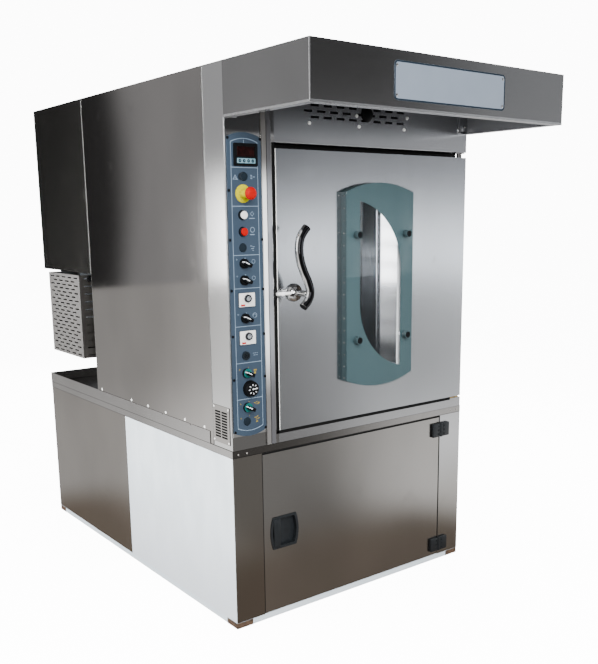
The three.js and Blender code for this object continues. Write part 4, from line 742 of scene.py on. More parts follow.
def makeWindow():
    w = window
    holes = [[(x + 6.4 * math.cos(k * math.pi / 8), z + 6.4 * math.sin(k * math.pi / 8)) for k in range(16)]
             for x in w["studX"] for z in w["studZ"]]
    edge = archedOutline(w["x0"], w["x1"], w["z0"], w["z1"], w["arch"])
    inner = archedOutline(w["x0"] + 1, w["x1"] - 1, w["z0"] + 1, w["z1"] - 1, w["arch"])
    pane = Work().use("clearPane").plate([edge, *holes], w["front"], w["back"], 0.8)
    pane.piece("outerPane", "oven_door", "glass_print", ["window_outer_glass"])
    layer = Work().use("glassPrint").plate([inner, viewOutline(), *holes], w["back"] + 0.02, w["back"] + 0.28)
    layer.piece("printedLayer", "oven_door", "glass_print")
    caps = Work()
    for x in w["studX"]:
        for z in w["studZ"]:
            face = -w["studFace"]
            caps.use("rimPaint").turned([(0, 34.3), (14, 34.3), (14.2, 35), (14.2, face - 3.2), (13.4, face - 2.2),
                                       (0, face - 2.2)], (x, 0, z), "front", 40)
            caps.use("blackPlastic").turned([(0, face - 2.4), (13.0, face - 2.4), (13.0, face - 0.4),
                                             (12.2, face + 0.15), (0, face + 0.15)], (x, 0, z), "front", 40)
    caps.piece("paneCaps", "oven_door", "chrome")
    sides = Work().use("screwSteel")
    for x, facing in ((w["x0"] + 1, "left"), (w["x1"] - 1, "right")):
        for k in range(16):
            screw(sides, (x, -15, 1553 - 45 * k), facing, 3.2, 2.2)
    sides.piece("paneRimScrews", "oven_door", "steel")


makeWindow()
print("door pieces ready")

# Control panel. Heights are from the floor, places from the left side; the overlay's face stands at -3.3.
panel = {
    "face": -3.3, "left": 8, "right": 144, "bottom": 739, "top": 1737, "arch": 17,
    "lineLeft": 24, "lineRight": 129, "line": 1.8, "lines": (1641, 1515, 1353, 1241, 1111, 984, 856),
    "lineBottom": 753, "lineTop": 1723,
    "buttonX": 64, "start": 1486, "stop": 1431,
    "selectors": {"selector_lamp": 1325, "selector_steam": 1269, "selector_fan": 1139, "selector_rack": 948,
                  "selector_power": 826},
    "plugs": (1612, 1378, 775), "buzzer": 1009,
    "timerX": 71.5, "timers": {"timer_bake": 1202, "timer_steam": 1072},
    "screws": ((13, 1734), (141, 1734), (13, 1566), (13, 1404), (142, 1404), (13, 1235), (142, 1235), (13, 1079),
               (142, 1079), (13, 928), (142, 928), (13, 742), (141, 742)),
}


def strip(work, x0, x1, z0, z1, front, thick):
    work.block((x0, front, z0), (x1, front + thick, z1), 0)


def makePanelMarks():
    p = panel
    face, w = p["face"] - 0.14, p["line"] / 2
    lines = Work().use("paleInk")
    left, right = p["lineLeft"], p["lineRight"]
    strip(lines, left - w, left + w, p["lineBottom"], p["lineTop"], face, 0.18)
    strip(lines, right - w, right + w, p["lineBottom"], p["lineTop"], face, 0.18)
    for z in p["lines"]:
        strip(lines, left, right, z - w, z + w, face - 0.01, 0.18)
    ends = archedOutline(left - w, right + w, p["lineBottom"], p["lineTop"], 12)
    shrunk = archedOutline(left + w, right - w, p["lineBottom"] + 2 * w, p["lineTop"] - 2 * w, 12)
    lines.plate([ends, shrunk], face - 0.02, face + 0.16)
    lines.piece("panelLines", "oven", "panel_blue")
    heads = Work().use("blackPlastic")
    for x, z in p["screws"]:
        heads.turned([(0, 2.6), (3.2, 2.4), (4.8, 1.4), (5.2, 0), (0, 0)], (x, p["face"] + 0.1, z), "front", 18)
    heads.piece("panelScrews", "oven", "black")


makePanelMarks()


# little generic marks beside the controls: rings, dots and dashes
def makeIcons():
    face = panel["face"] - 0.14
    marks = Work().use("whiteInk")

    def ring(x, z, radius, wide=1.2, sides=20):
        turns = [math.pi / 2 + 2 * math.pi * k / sides for k in range(sides)]
        marks.plate([[(x + size * math.cos(turn), z + size * math.sin(turn)) for turn in turns]
                     for size in (radius, radius - wide)], face, face + 0.18)

    def dash(x, z, long, tall):
        strip(marks, x - long / 2, x + long / 2, z - tall / 2, z + tall / 2, face, 0.18)

    marks.use("paleInk")
    ring(39, 1607, 11, 3.2, 3)
    dash(39, 1608, 1.8, 5)
    for x, z in ((103, 1616), (103, 1611), (103, 1606)):
        dash(x, z, 7, 2.2)
    dash(113, 1611, 8, 2)
    ring(103, 1490, 8, 1.6, 4)
    ring(103, 1437, 9, 1.6, 28)
    dash(102, 1475, 22, 2.2)
    dash(102, 1421, 18, 2.2)
    for x, z, long in ((96, 1383, 8), (106, 1380, 9), (101, 1374, 10), (104, 1368, 6)):
        dash(x, z, long, 1.6)
    for z in (1325, 1269, 1139):
        ring(104, z + 6, 7, 1.2)
        ring(37, z + 14, 2.4, 1.0, 12)
        ring(70, z + 18, 1.8, 0.9, 10)
    ring(105, 1147, 9, 1.2)
    for x, z, long in ((96, 1015, 5), (103, 1015, 6), (111, 1015, 4), (100, 1008, 9), (110, 1008, 5)):
        dash(x, z, long, 1.5)
    dash(75, 1724, 1.8, 11)
    dash(78, 1714, 5, 2)
    marks.use("yellowInk")
    dash(101, 955, 12, 5)
    dash(100, 946, 8, 7)
    for x, z, long, tall in ((96, 838, 6, 4), (104, 840, 5, 3), (113, 836, 6, 6), (105, 833, 14, 1.6),
                             (98, 785, 10, 3), (107, 788, 5, 4), (104, 778, 12, 2), (104, 770, 8, 5), (112, 781, 6, 3)):
        dash(x, z, long, tall)
    for z in (948, 826, 775):
        ring(37, z + 14, 2.4, 1.0, 12)
        ring(72, z + 19, 1.6, 0.8, 10)
    marks.piece("panelIcons", "oven", "panel_blue")


makeIcons()


# Push buttons, with a black collar round each.
def makeButtons():
    p = panel
    collars = Work().use("blackPlastic")
    for z in (p["start"], p["stop"], *p["selectors"].values()):
        top = 7.6 if z > 1400 else 10.2
        collars.turned([(11.6, top - 0.7), (12.4, top), (14.6, top - 0.6), (16.3, top - 2.4), (16.9, 3.4), (11.6, 3.4),
                        (11.6, top - 0.7)], (p["buttonX"], 0, z), "front", 40)
    collars.piece("buttonCollars", "oven", "black")
    for name, z, tone in (("start_button", p["start"], "whitePlastic"), ("stop_button", p["stop"], "redPlastic")):
        work = Work().use(tone)
        work.turned([(0, 17.2), (5, 17.1), (10.4, 16.8), (12.6, 16.2), (13.3, 15.2), (13.3, 14.3), (12.8, 13.8),
                     (11, 13.7), (11, -19), (0, -19)], (p["buttonX"], 0, z), "front", 40)
        work.piece(name.replace("_button", "Button"), name, "white" if "start" in name else "red", [name])
    plugs = Work().use("plugBlue")
    for z in p["plugs"]:
        plugs.turned([(0, 6.9), (10, 6.8), (13.4, 6.0), (15.0, 4.4), (15.4, 3.35), (0, 3.35)],
                     (p["buttonX"] + (9 if z > 1600 else -1), 0, z), "front", 40)
    plugs.piece("blindPlugs", "oven", "black")
    ribs = Work().use("blackPlastic")
    ribs.turned([(0, 9.2), (3, 9.1), (3.4, 8.0), (5.6, 8.0), (6, 9.0), (8.6, 8.9), (9, 7.8), (11.2, 7.8), (11.6, 8.7),
                 (13.6, 8.0), (15.2, 5.6), (15.4, 3.35), (0, 3.35)], (p["buttonX"], 0, p["buzzer"]), "front", 44)
    ribs.piece("buzzerCap", "oven", "black")


makeButtons()


# Selectors: a round base with a tapered finger bar and a white pointer line, from upper left to lower right.
selectorShape = {"turn": 1.1, "high": 36, "half": 6, "base": 16}


def makeSelector(name, z, tone):
    x, turn = panel["buttonX"], selectorShape["turn"]
    work = Work().use(tone)
    half, high, base = selectorShape["half"], selectorShape["high"], selectorShape["base"]
    work.turned([(0, 17.4), (12.8, 17.2), (14.3, 16.2), (base, 14.6), (base, 12.4), (14.2, 11.2), (11, 11), (11, -19),
                 (0, -19)], (x, 0, z), "front", 40)
    outline = [(-half, -17), (half, -17), (half + 0.6, -4), (half, 8), (3.8, 14.6), (-3.8, 14.6), (-half, 8),
               (-half - 0.6, -4)]
    work.use("blackPlastic").plate([[(x + a, z + b) for a, b in outline]], -high, -16, 1.6, ((x, 0, z), -turn))
    # the white line runs along the bar and down its end
    for low, tall, front, back in ((-3, 13.4, high + 0.12, high - 1), (13.8, 14.75, high - 1.2, 17)):
        line = [(-1.5, low), (1.5, low), (1.5, tall), (-1.5, tall)]
        work.use("whiteInk").plate([[(x + a, z + b) for a, b in line]], -front, -back, 0.0, ((x, 0, z), -turn))
    slotName = "green" if tone == "tealPlastic" else "black"
    work.piece(name.replace("selector_", "selector").replace("_", "") + "Knob", name, slotName, [name])


for name, z in panel["selectors"].items():
    makeSelector(name, z, "tealPlastic" if z < 1000 else "blackPlastic")


# Emergency stop: a flat ring with a raised neck, and the mushroom head standing well out.
estop = {"x": 68, "z": 1556, "ring": 30, "neck": 14.5, "neckOut": 36, "head": 21, "front": 63}


def makeEstop():
    x, z = estop["x"], estop["z"]
    ring = Work().use("yellowPlastic")
    ring.turned([(11.4, 3.7), (30, 3.7), (30, 5.4), (29.2, 6.1), (17.2, 6.1), (15.4, 7.0), (14.8, 9),
                 (14.5, estop["neckOut"] - 1), (13.9, estop["neckOut"]), (11.4, estop["neckOut"]), (11.4, 3.7)],
                (x, 0, z), "front", 56)
    ring.piece("stopRing", "oven", "yellow", ["estop_collar"])
    head = Work().use("redPlastic")
    f, r = estop["front"], estop["head"]
    head.turned([(0, f), (r * 0.33, f - 0.3), (r * 0.6, f - 1.3), (r * 0.79, f - 3.1), (r * 0.92, f - 5.9),
                 (r * 0.99, f - 9.4), (r, f - 13), (r * 0.98, f - 16.4), (r * 0.9, f - 18.6), (13, f - 19.4),
                 (11, f - 19.4), (11, -17), (0, -17)], (x, 0, z), "front", 56)
    head.piece("stopHead", "estop_head", "red", ["estop_head"])


makeEstop()


# Timers: a square white face with a grey translucent knob a little above its middle.
def makeTimers():
    for name, z in panel["timers"].items():
        x, dialZ = panel["timerX"], z + 5
        face = Work().use("whitePlastic").block((x - 32, -10.6, z - 23.4), (x + 31, -4.6, z + 23.4), 1.2, 3)
        # a dark frame behind the face, showing mostly at its right, is a painted shadow
        face.use("smokePlastic").block((x - 32.6, -5.4, z - 24), (x + 34, -3.5, z + 24), 0.6, 1)
        face.use("whitePlastic").block((x - 23, -4, z - 22), (x + 20, 60, z + 22), 0.6, 1)
        face.use("redInk").block((x - 27, -10.74, z - 21), (x - 10, -10.4, z - 14.5), 0)
        face.use("greyPlastic")
        for k in range(21):
            turn = math.radians(-60 + 15 * k)
            middle = (x + 21 * math.cos(turn), -10.55, dialZ - 2 + 18 * math.sin(turn))
            face.turned([(0, 0.14), (0.9, 0.14), (0.9, -0.1), (0, -0.1)], middle, "front", 8)
        face.piece(name.replace("timer_", "timerFace").replace("bake", "Bake").replace("steam", "Steam"), "oven",
                   "white", [f"{name}_body"])
        knob = Work().use("greyPlastic")
        knob.turned([(0, 19.6), (6.4, 19.4), (7.8, 18.8), (8.4, 17.6), (8.6, 11.4), (5, 11), (5, -8), (0, -8)],
                    (x, 0, dialZ), "front", 36)
        knob.use("smokePlastic").turned([(8.4, 11.2), (13.8, 11.2), (14.4, 12), (14.2, 17.4), (13, 19.6), (9.4, 19.6),
                                         (8.4, 18.6), (8.4, 11.2)], (x, 0, dialZ), "front", 8)
        knob.block((x - 1.0, -21.9, dialZ + 1), (x + 1.0, -20, dialZ + 7.5), 0.4)
        knob.piece(name.replace("timer_", "timerKnob").replace("bake", "Bake").replace("steam", "Steam"),
                   f"{name}_dial", "white", [f"{name}_dial"])


makeTimers()


# Program dial: a wide black knob with white marks that run out from its middle.
def makeProgramDial():
    x, z = 77, 892
    work = Work().use("blackPlastic")
    high = 25
    work.turned([(0, -20), (7, -20), (7, 3.7), (29, 3.7), (29, 5.4), (28.4, 6.4), (27.4, 7.2), (26.8, high - 5),
                 (25.8, high - 2.2), (24.2, high - 0.6), (22, high), (0, high)], (x, 0, z), "front", 56)
    work.use("whiteInk")
    for k in range(8):
        turn = math.radians(45 * k + 85)
        near = 12 if k else 2
        ray = [(-1.0, near), (1.0, near), (2.0, 18), (-2.0, 18)]
        work.plate([[(x + a, z + b) for a, b in ray]], -high - 0.15, -high + 0.2, 0.0, ((x, 0, z), turn))
    work.turned([(0, high + 0.2), (3.2, high + 0.2), (3.2, high - 0.2), (0, high - 0.2)], (x, 0, z), "front", 16)
    work.piece("programKnob", "program_dial", "black", ["program_dial"])


makeProgramDial()


# Temperature controller: a square black bezel, a dark display and four pale keys.
def makeController():
    x, z = 79.5, 1682
    work = Work().use("blackPlastic")
    work.plate([roundedOutline(x - 46, x + 46, z - 36.5, z + 36.5, 3),
                roundedOutline(x - 35, x + 35, z - 6, z + 26, 2)], -11.6, -3.65, 0.6)
    work.block((x - 37, -9.8, z - 8), (x + 37, -4, z + 28), 0)
    work.block((x - 36.5, -4.2, z - 33), (x + 29.5, 60, z + 33), 0.8, 1)
    work.use("display").block((x - 34.6, -10.4, z - 5.6), (x + 34.6, -9.6, z + 25.6), 0.2, 1)
    work.use("keyBlue").plate([roundedOutline(x - 36, x + 36, z - 28, z - 12, 2)], -11.9, -11, 0.2)
    for k in range(4):
        middle = x - 25.5 + 17 * k
        work.use("plugBlue").turned([(0, 12.4), (5.2, 12.3), (5.8, 11.8), (5.8, 11.6), (0, 11.6)],
                                    (middle, 0, z - 20), "front", 20)
        work.use("keyBlue").turned([(0, 12.6), (2.4, 12.6), (2.4, 12.2), (0, 12.2)], (middle, 0, z - 20), "front", 3)
    work.piece("controllerUnit", "oven", "black", ["temperature_controller"])


makeController()
print("control pieces ready")

# Base door: a black recessed pull and two black block hinges with their screws.
pull = {"x": 218, "z": 330, "half": 49, "tall": 59, "bulge": 11}


def pullOutline(grow):
    points = []
    half, tall = pull["half"] + grow, pull["tall"] + grow
    for side in (1, -1):
        for k in range(13):
            t = k / 12
            bow = 4 * t * (1 - t) * pull["bulge"]
            points.append((pull["x"] + side * (half + bow), pull["z"] + side * (-tall + 2 * tall * t)))
    return points


def makePull():
    x, z = pull["x"], pull["z"]
    rim = Work().use("blockBlack")
    rim.plate([pullOutline(3.6), pullOutline(-6)], -3.2, -0.4, 0.9)
    rim.plate([pullOutline(-3.4), pullOutline(-6)], -1.0, 17)
    rim.plate([pullOutline(-3.4)], 15, 17)
    rim.block((x - 50, -6.2, z - 54), (x - 22, -2.6, z + 54), 1.6, 3)
    rim.block((x - 24, -5.4, z - 52), (x - 21.5, 8, z + 52), 0.8)
    rim.piece("recessedPull", "base_door", "black", ["base_door_pull"])


makePull()

blockHinge = {"x": 1034.5, "y": -9, "leaf": 40, "wing": 40, "tall": 58,
              "bottoms": {"base_hinge_upper": 558, "base_hinge_lower": 45}}


def makeBlockHinges():
    h = blockHinge
    third = h["tall"] / 3
    for name, z0 in h["bottoms"].items():
        z1 = z0 + h["tall"]
        short = name.replace("base_hinge_", "")
        for side, part in ((1, "leaf"), (-1, "wing")):
            near, far = h["x"] + side * 8, h["x"] + side * (8 + h[part])
            work = Work().use("blockBlack")
            work.block((min(near, far), -12.3, z0), (max(near, far), -0.35, z1), 2.2, 3)
            spans = [(z0 + third + 0.3, z1 - third - 0.3)] if part == "leaf" else [(z0, z0 + third), (z1 - third, z1)]
            for low, high in spans:
                work.turned([(0, 0), (6.4, 0), (7, 0.6), (7, high - low - 0.6), (6.4, high - low), (0, high - low)],
                            (h["x"], h["y"], low), "up", 28)
                work.block((min(near, h["x"] + side * 2), -12, low + 0.4), (max(near, h["x"] + side * 2) + 0.1,
                           -6, high - 0.4), 0.4, 1)
            for z in (z0 + 12, (z0 + z1) / 2, z1 - 12):
                place = (near + side * 8, -12.2, z)
                work.use("blockBlack").turned([(3.4, 0.2), (4.4, 0.9), (5.4, 0.1), (3.4, 0.1)], place, "front", 20)
                work.use("blackPlastic").turned([(0, -0.5), (1.2, -0.5), (1.5, 0.3), (3.3, 0.2), (0, -1)], place,
                                              "front", 16)
            work.piece(f"{short}Hinge{part.capitalize()}", "base_door" if part == "wing" else "oven", "black",
                       [f"{name}_{part}"])


makeBlockHinges()

# Nameplate: bare enamelled plate with a thin dark blue border and four screws.
namePlate = {"x0": 324.5, "x1": 835.5, "z0": 1826, "z1": 1943, "corner": 15, "front": -461.4}


def makeNameplate():
    n = namePlate
    front = n["front"]
    plate = Work().use("plateEnamel")
    plate.plate([roundedOutline(n["x0"], n["x1"], n["z0"], n["z1"], n["corner"], 8)], front, -460.3, 0.3)
    plate.use("blueInk").plate([
        roundedOutline(n["x0"] + 0.2, n["x1"] - 0.2, n["z0"] + 0.2, n["z1"] - 0.2, 14.8, 8),
        roundedOutline(n["x0"] + 5.5, n["x1"] - 5.5, n["z0"] + 5.5, n["z1"] - 5.5, 10, 8)], front - 0.12, front + 0.1)
    plate.use("screwSteel")
    for x, z in ((336, 1928), (824, 1928), (336, 1841), (824, 1841)):
        plate.turned([(0, 0.2), (1.4, 0.2), (1.6, 0.5), (4.2, 0.45), (5, 0), (0, 0)], (x, front, z), "front", 20)
    plate.piece("namePlate", "oven", "plate", ["nameplate"])


makeNameplate()


# Hood: a bright folded hem along its lower edges, at the front and along both sides.
def makeHoodHem():
    hem = Work().use("trimSteel")
    hem.block((2.0, -460.6, 1798), (1158, -459.6, 1806), 0.3, 1)
    hem.block((1.7, -460.2, 1798), (2.6, -1, 1805), 0.2, 1)
    hem.block((1157.4, -460.2, 1798), (1158.3, -1, 1805), 0.2, 1)
    hem.piece("hoodHem", "oven", "steel")


makeHoodHem()


# Under the hood, on the lintel: a round black cap, dome screws painted white as a painted highlight, a black sheet of
# painted shade behind the slots, and a small bracket at the right.
def makeLintelPieces():
    work = Work().use("blackPlastic")
    work.turned([(0, 12), (8, 11.8), (17, 10.4), (24, 7), (27.4, 2.4), (28, 0.2), (0, 0.2)], (620, 0, 1844), "front", 44)
    work.use("domeWhite")
    for x, z in ((353, 1799), (582, 1799), (807, 1800), (570, 1836), (822, 1843)):
        screw(work, (x, 0, z), "front", 6.8, 4.2)
    # painted shade: a black sheet behind the lintel's slots
    work.use("blackPlastic").block((322, 5, 1806), (812, 7, 1874), 0)
    work.use("trimSteel").block((204, -0.9, 1727.6), (1076, 0.4, 1730.8), 0.3, 1)
    work.use("frameSteel").block((1106, -5.0, 1801), (1155, -0.3, 1864), 1.2, 2)
    work.use("screwSteel")
    screw(work, (1140, -5.0, 1827), "front", 5.5, 3.4)
    work.piece("lintelFittings", "oven", "steel")
    tops = Work().use("columnSteel")
    tops.block((145, -2.3, 1756), (163.8, 0.3, 1962), 0.3, 1)
    tops.block((164.3, -2.0, 1756), (183, 0.3, 1962), 0.3, 1)
    tops.piece("columnStripTops", "oven", "steel")


# Painted shade: black sheets over the door in the frame's recess, down the gap at its free side and under it; on the
# door, a black sheet down its free side and a painted highlight along its front edge.
def makeGapShades():
    fixed = Work().use("sealRubber")
    fixed.block((200.8, 3.0, 1725.8), (1096, 63.6, 1727.8), 0.3, 1)
    fixed.block((200.8, 50, 1710), (1150, 63.6, 1727), 1.5, 2)
    fixed.block((189.5, -0.9, 708), (200.4, 0.6, 1727.4), 0.5, 1)
    fixed.block((189.5, -0.9, 707), (1095, 0.6, 718.4), 0.5, 1)
    fixed.piece("frameGapShade", "oven", "seal")
    moving = Work().use("sealRubber")
    moving.block((201.9, 1.4, 722), (204.6, 40, 1705), 0.6, 1)
    moving.use("domeWhite").block((203.8, -0.5, 719.4), (206.4, 0.6, 1707.6), 0.5, 2)
    moving.piece("doorEdgeShadeAndHighlight", "oven_door", "seal")


makeGapShades()


# Bright folded seams that stand along the casing's left side.
def makeSeams():
    work = Work().use("trimSteel")
    work.block((1.3, 127.2, 722), (2.5, 129.4, 1970), 0.3, 1)
    work.use("sideSteel").block((0.6, 125.8, 676), (2.5, 130.6, 722), 0.2, 1)
    work.use("trimSteel")
    work.block((1.2, 1128.5, 1240), (2.4, 1132.5, 1971), 0.3, 1)
    work.block((1.5, 1263.3, 845), (3.2, 1265.2, 1236), 0.3, 1)
    work.turned([(0, 0), (3.4, 0), (3.4, 1074), (0, 1074)], (4.6, 2.6, 723), "up", 28)
    work.turned([(0, 0), (2.6, 0), (2.6, 173), (0, 173)], (4.2, -457.6, 1799), "up", 24)
    work.piece("sideSeams", "oven", "steel")


makeSeams()


# Painted shade: black strips in the gaps round the base door, and black inserts behind the louvres where the inside
# lies in shade.
def makeDarkGaps():
    work = Work().use("sealRubber")
    work.block((123.4, -0.6, 640.4), (1035, 0.4, 646.4), 0.3, 1)
    work.block((123.4, -0.6, 27), (125.8, 0.4, 641), 0.3, 1)
    work.block((1031, -0.6, 104), (1037, 0.4, 557), 0.3, 1)
    work.block((1031, -0.6, 617), (1037, 0.4, 646), 0.3, 1)
    for row in range(10):
        for start in (29.8, 72.8):
            work.block((0.12, start, 711.3 + 10 * row), (2.6, start + 36.4, 717.9 + 10 * row), 0)
    work.piece("baseDoorGaps", "oven", "seal")


makeDarkGaps()


makeLintelPieces()


# Dome screws and rivets of the casing; the white of the domes is a painted highlight, the front rail's dull rivets are
# painted shade.
def makeCasingScrews():
    dome = [(0, 2.2), (3, 2.0), (5, 1.2), (6, 0), (0, 0)]
    sides = Work().use("domeWhite")
    for y in (1083, 789, 639, 488, 336, 191):
        sides.turned(dome, (2.3, y, 728), "left", 18)
        sides.turned(dome, (1157.7, y, 728), "right", 18)
    sides.piece("sideScrews", "oven", "steel")
    rivets = Work().use("domeWhite")
    for y in (1637, 890, 154, 61, 20):
        for x, facing in ((0.9, "left"), (1159.1, "right")):
            rivets.turned([(0, 0.85), (3, 0.75), (5, 0.4), (5.6, 0), (0, 0)], (x, y, 660), facing, 18)
    # painted shade: the front rail's rivets in dull grey
    rivets.use("domeDull")
    for x in (1102, 1136, 24, 60):
        rivets.turned([(0, 1.2), (2.0, 1.1), (3.0, 0.7), (3.4, 0), (0, 0)], (x, 0, 659), "front", 18)
    rivets.piece("railRivets", "oven", "steel")
    vents = Work().use("domeWhite")
    for y, z in ((22, 699), (117, 699), (22, 820), (117, 820)):
        vents.turned([(0, 1.5), (3.4, 1.4), (5.4, 0.9), (5.8, 0), (0, 0)], (1.6, y, z), "left", 16)
    vents.piece("ventScrews", "oven", "steel")
    rear = Work().use("screwSteel")
    for x in (60, 320, 580, 840, 1100):
        for z in (1256, 1955):
            rear.turned([(0, 2.4), (3, 2.2), (5, 1.3), (5.6, 0), (0, 0)], (x, 1685, z), "back", 16)
    for z in (1420, 1600, 1780):
        for x in (22, 1138):
            rear.turned([(0, 2.4), (3, 2.2), (5, 1.3), (5.6, 0), (0, 0)], (x, 1685, z), "back", 16)
    for x in (90, 580, 1070):
        for z in (52, 330, 620):
            rear.turned([(0, 0.9), (3, 0.8), (5, 0.4), (5.6, 0), (0, 0)], (x, 1689, z), "back", 16)
    rear.piece("rearScrews", "oven", "steel")


makeCasingScrews()

# Cable gland: a black nut and seal where the fan's lead enters the perforated cover.
def makeGland():
    work = Work().use("blackPlastic")
    work.turned([(0, 0), (15, 0), (15, 3), (13.6, 4), (13.6, 13), (12, 15), (9, 15.5), (8, 23), (0, 23)],
                (52, 1264, 1208), "front", 6)
    work.piece("cableGland", "oven", "black")


makeGland()
print("casing pieces ready")

# Studio: a plain pale floor, soft lights and the tones that the polished sheets reflect.
studio = {
    "backdrop": (12.0, 12.0, 12.0), "floorPale": 11.5, "floorWhite": (0.90, 0.90, 0.895),
    "floorNear": (0.21, 0.175, 0.145), "floorDim": (0.26, 0.255, 0.25), "near": 0.14, "far": 0.75,
    "behindLeft": (0.0, 0.2, 0.24), "farLeft": (0.47, 0.62, 0.6), "farRight": (0.50, 0.84, 0.85),
    "horizon": (0.32, 0.32, 0.33), "roof": (1.0, 1.02, 1.05),
}

# What stands round the oven, as directions: azimuth from the back towards the right and elevation in degrees,
# each as (middle, half width, softness), and how much light it adds or, for a dark one, takes away.
brightPatches = (
    ((131, 15.5, 2.5), (-3.8, 3.5, 2.5), (2.6, 2.7, 2.83)),
    ((-39.9, 8.8, 0.6), (-3.5, 5.0, 2.5), (4.8, 4.82, 4.84)),
    ((-78, 12, 5), (0, 35, 12), (3.0, 3.0, 3.0)),
    ((80, 30, 15), (5, 20, 12), (0.55, 0.55, 0.56)),
    ((126, 7, 5), (9, 7, 4), (0.10, 0.11, 0.125)),
)
darkPatches = (
    ((-2, 23.6, 1.0), (0, 30, 8), 0.91),
    ((146, 16, 8), (14, 9, 4), 0.78),
    ((158, 12, 3), (0, 60, 20), 0.75),
    ((-140, 22, 8), (0, 60, 20), 0.75),
)


def makeWorld():
    world = bpy.data.worlds.new("studio")
    bpy.context.scene.world = world
    world.use_nodes = True
    tree = Tree(world.node_tree)
    background = world.node_tree.nodes["Background"]
    direction = tree.node("TexCoord", None, None, "Generated")
    x, y, up = tree.axes(direction)
    azimuth = tree.node("Math", {"operation": "ARCTAN2"}, {0: x, 1: y}) * 57.29578
    elevation = tree.node("Math", {"operation": "ARCSINE"}, {0: up}) * 57.29578

    def window(value, middle, half, soft):
        return 1 - abs(value - middle).step(half - soft, half + soft)

    tone = tree.mix(elevation.step(8.0, 70.0), studio["horizon"], studio["roof"])
    bend = abs(elevation - 2).least(12)
    bowed = azimuth - bend * bend * 0.0115
    for across, high, amount in darkPatches:
        shade = window(bowed, *across) * window(elevation, *high) * amount
        tone = tree.mix(shade, tone, (0.0, 0.0, 0.0))
    for across, high, colour in brightPatches:
        patch = window(azimuth, *across) * window(elevation, *high)
        tone = tree.node("Mix", {"data_type": "RGBA", "blend_type": "ADD"}, {0: patch, 6: tone, 7: colour}, 2)
    straight = tree.node("LightPath", None, None, "Is Camera Ray")
    tree.feed(background, {"Color": tree.mix(straight, tone, studio["backdrop"]), "Strength": 1.0})


makeWorld()


# The floor is plain and pale to the camera; for reflected and bounced rays it glows with painted light, darkened by
# painted shade near the oven and far off to its front left.
def makeFloor():
    finish = Finish("studioFloor", Roughness=0.8, Specular_IOR_Level=0.1, Emission_Strength=1.0)
    straight = finish.node("LightPath", None, None, "Is Camera Ray")
    x, y, z = finish.axes(finish.at)
    outX = (abs(x) - 0.58).most(0.0)
    outY = (abs(y) - 0.85).most(0.0)
    away = (outX * outX + outY * outY) ** 0.5
    reach = y + 0.6
    round = (x * x + reach * reach) ** 0.5
    rightward = x / round
    before = (rightward * -1).step(0.10, 0.30) * (reach / round * -1).step(0.22, 0.42) * round.step(1.2, 2.0)
    glow = 0.0
    for sense, key in ((-1, "behindLeft"), (-1, "farLeft"), (1, "farRight")):
        low, high, amount = studio[key]
        glow = (rightward * sense).step(low, high) * amount + glow
    distant = finish.node("VectorMath", {"operation": "ADD"}, {0: studio["floorDim"], 1: glow})
    distant = finish.mix(away.step(1.8, 4.2) * 0.35, distant, studio["floorDim"])
    seen = finish.mix(away.step(studio["near"], studio["far"]), studio["floorNear"], distant)
    seen = finish.mix(before * 0.93, seen, (0.0, 0.0, 0.0))
    pale = (studio["floorPale"],) * 3
    finish.set(Base_Color=finish.mix(straight, (0.0, 0.0, 0.0), studio["floorWhite"]),
               Emission_Color=finish.mix(straight, seen, pale))
    data = bpy.data.meshes.new("floor")
    side = 14
    data.from_pydata([(-side, -side, -0.0005), (side, -side, -0.0005), (side, side, -0.0005), (-side, side, -0.0005)],
                     [], [(0, 1, 2, 3)])
    floor = bpy.data.objects.new("floor", data)
    data.materials.append(finish.material)
    bpy.context.scene.collection.objects.link(floor)


makeFloor()

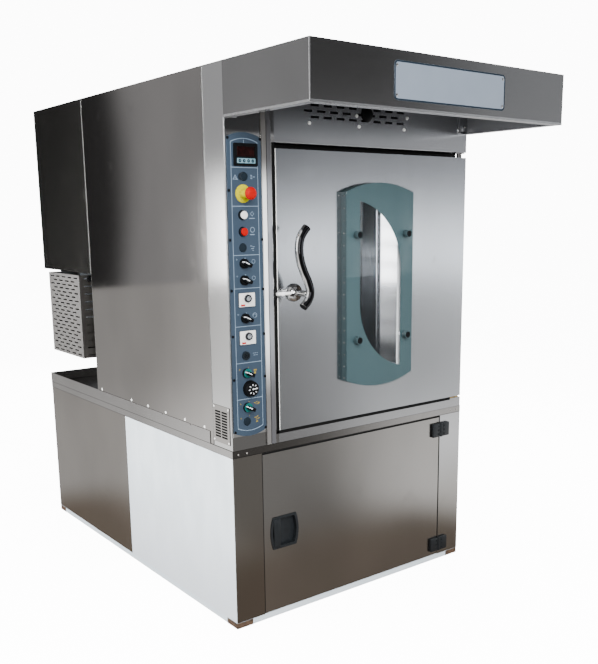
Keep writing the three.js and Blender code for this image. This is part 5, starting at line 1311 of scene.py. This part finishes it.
# name, place, aim, width, height, power, shows in reflections
lamps = (
    ("keyLamp", (-1.4, -3.8, 2.6), (0.0, 0.0, 1.1), 2.6, 2.6, 420, False),
    ("stripLamp", (-1.9, -3.6, 1.8), (-0.2, -0.6, 1.2), 0.3, 2.0, 30, True),
    ("leftLamp", (-4.2, 0.4, 1.6), (0.0, 0.0, 0.8), 2.4, 2.8, 330, False),
    ("topLamp", (0.2, -0.2, 4.6), (0.0, 0.0, 0.0), 3.2, 3.2, 160, False),
    ("rightLamp", (3.6, -1.6, 2.2), (0.0, -0.2, 1.0), 2.0, 2.4, 160, False),
    ("backLamp", (1.6, 4.6, 2.6), (0.0, 0.6, 1.0), 2.4, 2.4, 200, False),
    ("ovenLamp", (-0.355, 0.056, 1.395), (0.6, 0.056, 1.395), 0.38, 0.49, 7.5, True),
    ("lowOvenLamp", (-0.355, 0.056, 1.01), (0.6, 0.056, 1.01), 0.38, 0.26, 0.4, True),
)


def makeLamps():
    for name, place, aim, wide, tall, power, shows in lamps:
        lamp = bpy.data.lights.new(name, "AREA")
        lamp.shape, lamp.size, lamp.size_y, lamp.energy = "RECTANGLE", wide, tall, power
        made = bpy.data.objects.new(name, lamp)
        made.location = place
        made.rotation_euler = (Vector(aim) - Vector(place)).to_track_quat("-Z", "Y").to_euler()
        made.visible_glossy = shows
        made.visible_camera = False
        bpy.context.scene.collection.objects.link(made)


makeLamps()

# Camera at the photograph's place, solved from the casing's edges.
photoCamera = {
    "place": (-2.1006256, -3.0529672, 1.4846103), "right": (0.7856925, -0.6185734, -0.0073669),
    "up": (0.1287385, 0.1518485, 0.9799839), "lens": 45.914, "shiftX": -0.032405, "shiftY": 0.082585,
}


def makeCamera():
    data = bpy.data.cameras.new("photoCamera")
    data.sensor_fit, data.sensor_height, data.sensor_width = "VERTICAL", 36, 36
    data.lens, data.shift_x, data.shift_y = photoCamera["lens"], photoCamera["shiftX"], photoCamera["shiftY"]
    data.clip_start, data.clip_end = 0.05, 60
    made = bpy.data.objects.new("photoCamera", data)
    right, up = Vector(photoCamera["right"]), Vector(photoCamera["up"])
    turn = Matrix((right, up, right.cross(up))).transposed()
    made.matrix_world = Matrix.Translation(photoCamera["place"]) @ turn.to_4x4()
    bpy.context.scene.collection.objects.link(made)
    bpy.context.scene.camera = made


makeCamera()
print("studio ready")
